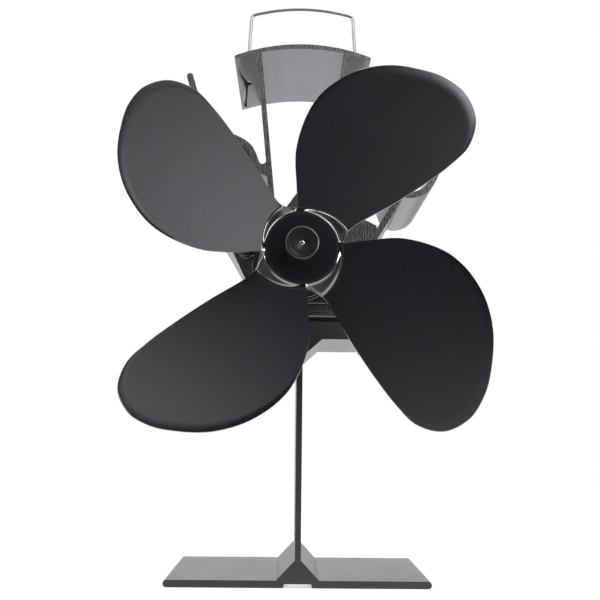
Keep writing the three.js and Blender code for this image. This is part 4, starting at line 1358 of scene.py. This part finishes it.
    def build_bush(self) -> None:
        """The brass bush behind the sheet, and its grub screw."""
        box = Box.of("hub_bush")
        front, rear, flange = box.low.y, box.high.y, box.radius
        seat = Box.of("hub_cap").high.y + self.thickness + 0.05
        back = seat + self.bush_flange
        bore, spigot, barrel = self.bush_bore, self.bush_spigot, self.bush_barrel
        self.turned("hub_bush_turned", "hub_bush", "fan_wheel", "brass", Finishes.BRASS, [
            (bore, front), (spigot - 0.2, front), (spigot, front + 0.2), (spigot, seat),
            (flange - 0.15, seat), (flange, seat + 0.15), (flange, back - 0.15), (flange - 0.15, back),
            (barrel, back), (barrel, rear - 0.35), (barrel - 0.35, rear), (bore + 0.25, rear),
            (bore, rear - 0.25)], 72)
        top, grub = box.centre.z + barrel + 0.12, self.grub_radius
        middle = Vector((0.0, (back + rear) / 2, 0.0))
        screw = Draft().turn([
            (0.0, top - 1.1), (0.62, top - 1.1, Outline.HEXAGON), (0.75, top - 0.12, Outline.HEXAGON),
            (0.86, top, Outline.HEXAGON), (grub - 0.25, top), (grub, top - 0.25), (grub, top - 2.2),
            (0.0, top - 2.2)], Axis.UPRIGHT, middle, 48)
        self.keep(screw.piece("hub_grub_screw"), "fan_wheel", "zinc_steel", Finishes.ZINC)


def axis_height() -> float:
    """Level of the motor's axis in millimetres."""
    return Box.of("motor_shaft").centre.z


@dataclass(frozen=True)
class ScrewPair(SubAssembly):
    """Two equal screws at both sides of the middle, heads at the front or below."""

    name: str
    node: str
    slot: str
    finish: Finish
    axis: Axis
    half_spacing: float
    head: tuple[Turn, ...]
    head_height: float
    thread_radius: float
    tip: Pair
    sides: int

    def build(self) -> None:
        """Draws one screw about the origin and lets a recipe set two."""
        box = Box.of(f"{self.node}_right")
        along = self.axis is Axis.ALONG
        length = box.size.y if along else box.size.z
        head, seat, thread = self.head[-1][0], self.head_height, self.thread_radius
        made = Draft().turn([
            *self.head, (head, seat - 0.1), (head - 0.1, seat), (thread, seat),
            (thread, length - self.tip[1]), (thread - self.tip[0], length), (0.0, length),
        ], self.axis, ORIGIN, self.sides).piece(self.name)
        recipe = Recipe(f"{self.name}_pair")
        reach, depth, height = recipe.sizes({
            "Half Spacing": self.half_spacing * MM, "Depth": (box.low if along else box.centre).y * MM,
            "Height": (box.centre if along else box.low).z * MM})
        ends = recipe.vector(reach * -1.0, depth, height), recipe.vector(reach, depth, height)
        recipe.run(made, recipe.on_line(recipe.start, 2, *ends), self.finish)
        self.keep(made, "stand", self.slot, None, f"{self.node}_right", f"{self.node}_left")


BEZEL_SCREWS = ScrewPair(
    "bezel_screws", "bezel_screw", "black_oxide", Finishes.OXIDE, Axis.ALONG, 23.2,
    ((0.0, 1.25), (0.45, 1.1, Outline.CROSS), (1.25, 0.4, Outline.CROSS), (1.42, 0.02, Outline.CROSS),
     (1.62, 0.0), (2.05, 0.14), (2.42, 0.42), (2.66, 0.82), (2.75, 1.25)),
    head_height=1.9, thread_radius=1.4, tip=(0.45, 0.5), sides=64)
CLAMP_SCREWS = ScrewPair(
    "clamp_screws", "clamp_screw", "zinc_steel", Finishes.ZINC, Axis.UPRIGHT, 28.6,
    ((0.0, 1.3), (0.78, 1.3, Outline.HEXAGON), (0.98, 0.1, Outline.HEXAGON), (1.1, 0.0, Outline.HEXAGON),
     (1.4, 0.0), (1.8, 0.14), (2.08, 0.4), (2.25, 0.85)),
    head_height=2.2, thread_radius=1.25, tip=(0.4, 0.4), sides=48)


@dataclass
class Motor(SubAssembly):
    """The motor: can, end cap, armature and the bezel's screws."""

    nose_height: float = 1.8
    nose_radius: float = 3.5
    can_bore: float = 2.5
    can_wall: float = 0.6
    turns: int = 4
    layers: int = 2
    poles: int = 3
    wire_radius: float = 0.3
    wire_sides: int = 6
    coil_length: float = 13.4
    coil_width: float = 4.0
    coil_corner: float = 0.8
    first_turn: float = 3.9
    last_turn: float = 5.8
    coil_angle: float = 70.0

    def build(self) -> None:
        """Makes the motor's visible pieces and dresses the rest."""
        self.build_can()
        BEZEL_SCREWS.build()
        self.build_windings()
        self.dress(Finishes.PLASTIC, "motor_end_cap")
        self.dress(Finishes.BRASS, "front_bush", "rear_bush")
        self.dress(Finishes.FERRITE, "magnet_right", "magnet_left")
        self.dress(Finishes.COPPER, "brush_right", "brush_left", "commutator")
        self.dress(Finishes.CORE, "armature_core")

    def build_can(self) -> None:
        """The drawn can: rounded shoulder, raised nose, a ring bead and a rolled rear edge."""
        box = Box.of("motor_can")
        radius, nose, rear = box.radius, box.low.y, box.high.y
        front, rim, bore, wall = nose + self.nose_height, self.nose_radius, self.can_bore, self.can_wall
        self.turned("motor_can_drawn", "motor_can", "stand", "zinc_steel", Finishes.CAN, [
            (bore, nose), (rim - 0.2, nose), (rim, nose + 0.2), (rim, front - 0.3), (rim + 0.3, front),
            (8.4, front), (8.6, front + 0.12), (8.9, front + 0.12), (9.1, front), (radius - 1.0, front),
            (radius - 0.62, front + 0.08), (radius - 0.29, front + 0.29), (radius - 0.08, front + 0.62),
            (radius, front + 1.0), (radius, rear - 0.2), (radius - 0.2, rear), (radius - wall, rear),
            (radius - wall, front + wall), (bore, front + wall)], 96)

    def build_windings(self) -> None:
        """Three coils of enamelled wire round the armature's arms."""
        coils = mesh_object("armature_windings")
        recipe = Recipe("coils_round_the_arms")
        wire, turns, length, width, poles, height, first, last = recipe.sizes({
            "Wire Radius": self.wire_radius * MM, "Turns": self.turns, "Coil Length": self.coil_length * MM,
            "Coil Width": self.coil_width * MM, "Poles": self.poles, "Axis Height": axis_height() * MM,
            "First Turn": self.first_turn * MM, "Last Turn": self.last_turn * MM})
        middle = Box.of("armature_core").centre.y * MM
        ends = recipe.vector(first, middle, 0.0), recipe.vector(last, middle, 0.0)
        layers = []
        for layer in range(self.layers):
            grow = wire * (4.0 * layer)
            loop = recipe.add("GeometryNodeCurvePrimitiveQuadrilateral",
                              {"Width": length + grow, "Height": width + grow})
            bent = recipe.add("GeometryNodeFilletCurve",
                              {"Curve": loop, "Count": 3, "Radius": self.coil_corner * MM}, {"mode": "POLY"})
            upright = recipe.add("GeometryNodeTransform",
                                 {"Geometry": bent, "Rotation": (FULL_TURN / 4, 0.0, FULL_TURN / 4)})
            layers.append(recipe.on_line(upright, turns, *ends))
        joined = recipe.add("GeometryNodeJoinGeometry", {"Geometry": layers})
        loops = recipe.add("GeometryNodeRealizeInstances", {"Geometry": joined})
        section = recipe.add("GeometryNodeCurvePrimitiveCircle",
                             {"Resolution": self.wire_sides, "Radius": wire})
        coil = recipe.add("GeometryNodeCurveToMesh", {"Curve": loops, "Profile Curve": section})
        recipe.run(coils, recipe.round_axis(coil, poles, FULL_TURN / 4, height), Finishes.ENAMEL,
                   self.coil_angle)
        self.keep(coils, "fan_wheel", "copper", None, "winding_1", "winding_2", "winding_3")


@dataclass
class ThermoModule(SubAssembly):
    """The thermoelectric module with its pads, and the clamp screws that hold the fan together."""

    per_side: int = 6
    pitch: float = 5.6
    leg_width: float = 2.2
    tab_overhang: float = 0.35
    tab_height: float = 0.3
    solder: float = 0.08
    leg_angle: float = 20.0

    def build(self) -> None:
        """Makes legs and screws and dresses the plates."""
        self.build_legs()
        CLAMP_SCREWS.build()
        self.dress(Finishes.CERAMIC, "module_hot_plate", "module_cold_plate")
        self.dress(Finishes.GRAPHITE, "hot_pad", "cold_pad")
        self.dress(Finishes.SEALANT, "module_seal")
        self.dress(Finishes.ZINC, "spring_washer_right", "spring_washer_left")
        self.dress(Finishes.PLASTIC, "insulating_bush_right", "insulating_bush_left")

    def build_legs(self) -> None:
        """The grid of legs, each between two copper tabs."""
        box = Box.of("module_legs")
        half, height, tab = self.leg_width / 2, box.size.z, self.tab_height
        wide, neck = half + self.tab_overhang, tab + self.solder
        levels = [(wide, 0.0), (wide, tab), (half, neck), (half, height - neck), (wide, height - tab),
                  (wide, height)]
        corners = [(1, 1), (-1, 1), (-1, -1), (1, -1)]
        rings = [[Vector((x * w, y * w, z)) for x, y in corners] for w, z in levels]
        poles = [[Vector((0.0, 0.0, level))] for level in (0.0, height)]
        made = Draft().loft([poles[0], *rings, poles[1]]).piece("module_leg_grid", self.leg_angle)
        recipe = Recipe("legs_in_a_grid")
        side, count, depth, level = recipe.sizes({
            "Grid Side": (self.per_side - 1) * self.pitch * MM, "Legs Per Side": self.per_side,
            "Depth": box.centre.y * MM, "Level": box.low.z * MM})
        grid = recipe.add("GeometryNodeMeshGrid",
                          {"Size X": side, "Size Y": side, "Vertices X": count, "Vertices Y": count})
        placed = recipe.add("GeometryNodeTransform",
                            {"Geometry": grid, "Translation": recipe.vector(0.0, depth, level)})
        recipe.run(made, recipe.copies(placed, recipe.start), Finishes.COPPER, self.leg_angle)
        self.keep(made, "stand", "copper", None, "module_legs")


@dataclass
class Handle(SubAssembly):
    """The bent wire handle through the roof's overhangs."""

    wire: float = 0.75
    leg_half: float = 26.6
    toe: float = 3.5
    top_half: float = 24.3
    top_height: float = 28.7
    corner: float = 1.9
    crown: float = 3.6
    roof_crest: float = 230.0
    leg_shares: tuple[float, ...] = (0.1, 0.3, 0.5, 0.7, 0.9)
    crown_shares: tuple[float, ...] = (0.85, 0.6, 0.3, 0.0)
    steps: int = 420

    def half_line(self, side: int) -> list[Vector]:
        """One half of the wire's middle line: toe, straight leg, tight corner and half of the crowned top.

        Args:
            side: 1 for the right half.

        Returns:
            The points that the wire passes through.
        """
        box = Box.of("handle")
        middle, foot = box.low.y + self.wire, box.low.z + self.wire
        top = self.roof_crest + self.top_height
        bend = self.toe / 3
        heel = Vector((side * self.leg_half, middle, foot + bend))
        corner = Vector((side * self.top_half, middle, top))

        def crown(share: float) -> Vector:
            """A point of the crowned top."""
            return Vector((side * self.top_half * share, middle, top + self.crown * (1 - share ** 2)))

        leg_end = corner.lerp(heel, self.corner / (top - foot))
        crown_end = crown(1 - self.corner / self.top_half)
        return [
            Vector((side * self.leg_half, middle + self.toe, foot)),
            Vector((side * self.leg_half, middle + bend, foot)),
            heel,
            *(heel.lerp(corner, share) for share in self.leg_shares),
            leg_end,
            leg_end.lerp(crown_end, 0.5).lerp(corner, 0.5),
            crown_end,
            *(crown(share) for share in self.crown_shares),
        ]

    def build(self) -> None:
        """Sweeps the wire along both halves."""
        line = smooth_line([*self.half_line(-1), *reversed(self.half_line(1)[:-1])], self.steps)
        made = Draft().sweep(line, self.wire, 18).piece("handle_wire")
        self.keep(made, "bail", "stainless", Finishes.WIRE, "handle")


@dataclass
class BimetalStrip(SubAssembly):
    """The strip under the foot that lifts the fan when the stove is too hot, and its rivet."""

    edge: float = 0.08
    shank: float = 1.0
    head_shares: tuple[Pair, ...] = (
        (0.0, 0.0), (0.5, 0.0), (0.75, 0.05), (0.92, 0.16), (1.0, 0.32), (1.0, 0.42))

    def build(self) -> None:
        """Makes strip and rivet."""
        self.refined("bimetal_strip_rolled", "bimetal_strip", "strip", "bimetal", Finishes.BIMETAL,
                     BrokenEdges(self.edge))
        box, shank = Box.of("bimetal_rivet"), self.shank
        low, high = box.low.z, box.high.z
        profile = [*scaled(self.head_shares, box.radius, low), (shank, low + 0.45), (shank, high - 0.2),
                   (shank - 0.2, high), (0.0, high)]
        self.turned("bimetal_rivet_head", "bimetal_rivet", "stand", "stainless", Finishes.WIRE, profile, 40,
                    Axis.UPRIGHT, closed=False)


@dataclass
class Leads(SubAssembly):
    """The module's two leads, up the back of the block and along the bore to the motor's terminals."""

    radius: float = 0.65
    stand: float = 3.0
    low_rise: float = 3.9
    high_drop: float = 4.5
    notch_half: float = 6.0
    tab_half: float = 7.0
    depth: float = 58.0
    module_half: float = 20.0
    seal_inset: float = 1.3
    tab_rear: float = 12.4
    lap: float = 0.3
    steps: int = 120
    sleeve_bore: float = 1.25
    wire_bore: float = 0.75

    def corners(self, side: int) -> list[Vector]:
        """The route that the CAD gives a lead.

        Args:
            side: 1 for the right lead.

        Returns:
            The points that it passes through.
        """
        front = Box.of("heat_sink").low.y
        middle = self.depth / 2
        start = middle + self.module_half - self.seal_inset
        back = self.depth + self.stand
        low, axis, turn = Box.of("module_seal").centre.z, axis_height(), self.stand
        below = [(start, low), (start + turn, low), (self.depth - turn, low),
                 (back - turn / 3, low + turn / 3), (back, low + self.low_rise)]
        above = [(back, axis - self.high_drop), (back - turn / 3, axis - turn / 2), (self.depth - turn, axis),
                 (middle, axis), (self.tab_rear + self.lap, axis)]
        return [Vector((side * half, front + y, z))
                for half, line in ((self.notch_half, below), (self.tab_half, above)) for y, z in line]

    def build(self) -> None:
        for side, colour, finish, slot in ((1, "red", Finishes.RED, "red_wire"),
                                           (-1, "black", Finishes.BLACK, "black_wire")):
            line = smooth_line(self.corners(side), self.steps)
            made = Draft().sweep(line, self.radius, 12).piece(f"{colour}_lead_wire")
            self.keep(made, "stand", slot, finish, f"{colour}_lead")
            path = [tuple(point * MM) for point in line]
            length = sum((b - a).length for a, b in zip(line, line[1:])) * MM
            2 * self.radius * MM
        for name in ("right", "left"):
            box = Box.of(f"lead_sleeve_{name}")
            front, rear, outer, bore = box.low.y, box.high.y, box.radius, self.sleeve_bore
            profile = [(bore, front), (outer - 0.1, front), (outer, front + 0.15), (outer, rear - 2.2),
                       (outer - 0.25, rear - 1.4), (outer - 0.32, rear), (self.wire_bore, rear),
                       (self.wire_bore, rear - 1.2), (bore, rear - 2.0)]
            self.turned(f"sleeve_{name}_shrunk", f"lead_sleeve_{name}", "stand", "sealant",
                        Finishes.SEALANT, profile, 32)


# Studio


@dataclass(frozen=True)
class Lamp:
    """A soft area lamp that points at the fan. Lengths are in metres."""

    label: str
    place: Triple
    side: float
    power: float
    tall: float = 1.0
    aim: Triple = (0.0, 0.0, 0.13)

    def build(self) -> None:
        """Makes the lamp."""
        data = bpy.data.lights.new(self.label, "AREA")
        data.shape = "RECTANGLE"
        data.size = self.side
        data.size_y = self.side * self.tall
        data.energy = self.power
        lamp = linked(self.label, data)
        lamp.location = self.place
        direction = Vector(self.aim) - Vector(self.place)
        lamp.rotation_euler = direction.to_track_quat("-Z", "Y").to_euler()
        lamp.visible_camera = False
        LOG.info("lamp %s", self.label)


@dataclass
class Studio:
    """Camera, floor, world and lamps. Lengths are in metres."""

    camera_place: Triple = (-0.0041, -0.3362, 0.0633)
    camera_yaw: float = 0.012
    camera_pitch: float = 0.157
    camera_roll: float = 0.01
    camera_lens: float = 48.0
    camera_sensor: float = 36.0
    floor_radius: float = 2.4
    floor_drop: float = 0.00005
    floor_sides: int = 64
    floor_light: Triple = (0.9, 0.9, 0.9)
    floor_dark: Triple = (0.891, 0.891, 0.8865)
    floor_grain: float = 60.0
    floor_fade: Pair = (0.4, 0.9)
    floor_lift: float = 0.46
    floor_gloss: Triple = (0.2, 1.0, 0.95)
    floor_near: Pair = (0.2, 0.32)
    floor_turn: Pair = (-0.08, 0.02)
    room_light: float = 0.42
    front_gloss: float = 0.02
    front_turn: Pair = (-0.6, 0.3)
    side_turn: Pair = (0.14, 0.42)
    side_dim: float = 0.5
    lamps: tuple[Lamp, ...] = (
        Lamp("key_lamp", (0.353, -0.873, 0.79), 0.34, 1.9),
        Lamp("high_lamp", (0.243, -0.42, 1.17), 0.5, 0.8),
        Lamp("left_lamp", (-0.67, -0.57, 0.86), 0.38, 2.2, 1.7),
        Lamp("left_low_lamp", (-1.077, -0.392, 0.23), 0.35, 2.5),
        Lamp("right_lamp", (0.694, -0.67, 0.756), 0.22, 1.5, 2.6),
        Lamp("right_low_lamp", (0.878, -0.736, 0.23), 0.35, 4.8),
        Lamp("top_lamp", (0.0, 0.25, 1.25), 0.9, 3.0),
    )

    def build(self) -> None:
        """Makes the whole studio."""
        self.build_camera()
        self.build_floor()
        self.build_world()
        for lamp in self.lamps:
            lamp.build()
        bpy.context.scene.view_settings.view_transform = "Standard"

    def build_camera(self) -> None:
        """The camera at the photograph's place and angle."""
        data = bpy.data.cameras.new("photo_camera")
        data.lens = self.camera_lens
        data.sensor_width = self.camera_sensor
        data.clip_start = 0.01
        camera = linked("photo_camera", data)
        camera.matrix_world = Matrix.Translation(self.camera_place)
        for angle, axis in ((-self.camera_yaw, "Z"), (FULL_TURN / 4 + self.camera_pitch, "X"),
                            (self.camera_roll, "Z")):
            camera.matrix_world = camera.matrix_world @ Matrix.Rotation(angle, 4, axis)
        bpy.context.scene.camera = camera

    def floor_mirrored(self, away: Value, y: Value) -> Value:
        """How bright metal sees the floor, dimmer in front of the fan than under and behind it.

        Args:
            away: distance from the fan.
            y: place from front to back.

        Returns:
            The brightness.
        """
        front, close, back = self.floor_gloss
        before = close + away.step(*self.floor_near) * (front - close)
        return before + (back - before) * y.step(*self.floor_turn)

    def build_floor(self) -> None:
        """A pale floor that fades into the white backdrop away from the fan."""
        level = -self.floor_drop / MM
        disc = [(0.0, level), (self.floor_radius / MM, level)]
        floor = Draft().turn(disc, Axis.UPRIGHT, ORIGIN, self.floor_sides).piece("studio_floor")
        material = bpy.data.materials.new("pale_floor")
        g = Graph.of(material)
        here = g.coords()
        x, y, _ = g.split(here)
        away = x.hypot(y)
        camera, gloss, clear = g.rays()
        paper = g.mix(g.noise(here, self.floor_grain, 3.0), self.floor_light, self.floor_dark)
        matt = g.add("ShaderNodeBsdfDiffuse", {"Color": paper})
        glow = g.add("ShaderNodeEmission", {"Strength": camera * self.floor_lift})
        lit = g.add("ShaderNodeAddShader", {0: matt, 1: glow})
        mirror = g.add("ShaderNodeEmission", {"Strength": self.floor_mirrored(away, y)})
        near = g.add("ShaderNodeMixShader", {0: (gloss + clear).clamped(), 1: lit, 2: mirror})
        far = g.add("ShaderNodeBsdfTransparent")
        both = g.add("ShaderNodeMixShader", {0: away.step(*self.floor_fade), 1: near, 2: far})
        g.node("ShaderNodeOutputMaterial", {"Surface": both})
        floor.data.materials.append(material)

    def build_world(self) -> None:
        """White to the eye and plain soft light on surfaces; reflections are dimmer in front and beside."""
        world = bpy.context.scene.world = bpy.data.worlds.new("studio_room")
        g = Graph.of(world)
        side, depth, _ = g.split(g.coords("Generated"))
        behind = depth.step(*self.front_turn)
        beside = side.size().step(*self.side_turn)
        camera, gloss, clear = g.rays()
        eye = camera + clear
        shown = self.front_gloss + behind * (1.0 - self.front_gloss) * (1 - beside * self.side_dim)
        other = 1 - (eye + gloss).clamped()
        strength = (eye + gloss * shown).clamped() + other * self.room_light
        shade = g.add("ShaderNodeBackground", {"Color": (1.0, 1.0, 1.0, 1.0), "Strength": strength})
        g.node("ShaderNodeOutputWorld", {"Surface": shade})


def write_sizes() -> None:
    """Updates the view layer.
    """
    bpy.context.view_layer.update()


def main() -> None:
    """Builds the studio and every sub-assembly in order."""
    logging.basicConfig(level=logging.INFO, format="%(name)s: %(message)s")
    Studio().build()
    for part in (Leads(), Profiles(), FanWheel(), Motor(), ThermoModule(), Handle(), BimetalStrip()):
        LOG.info("building %s", type(part).__name__)
        part.build()
    write_sizes()


if __name__ == "__main__":
    main()
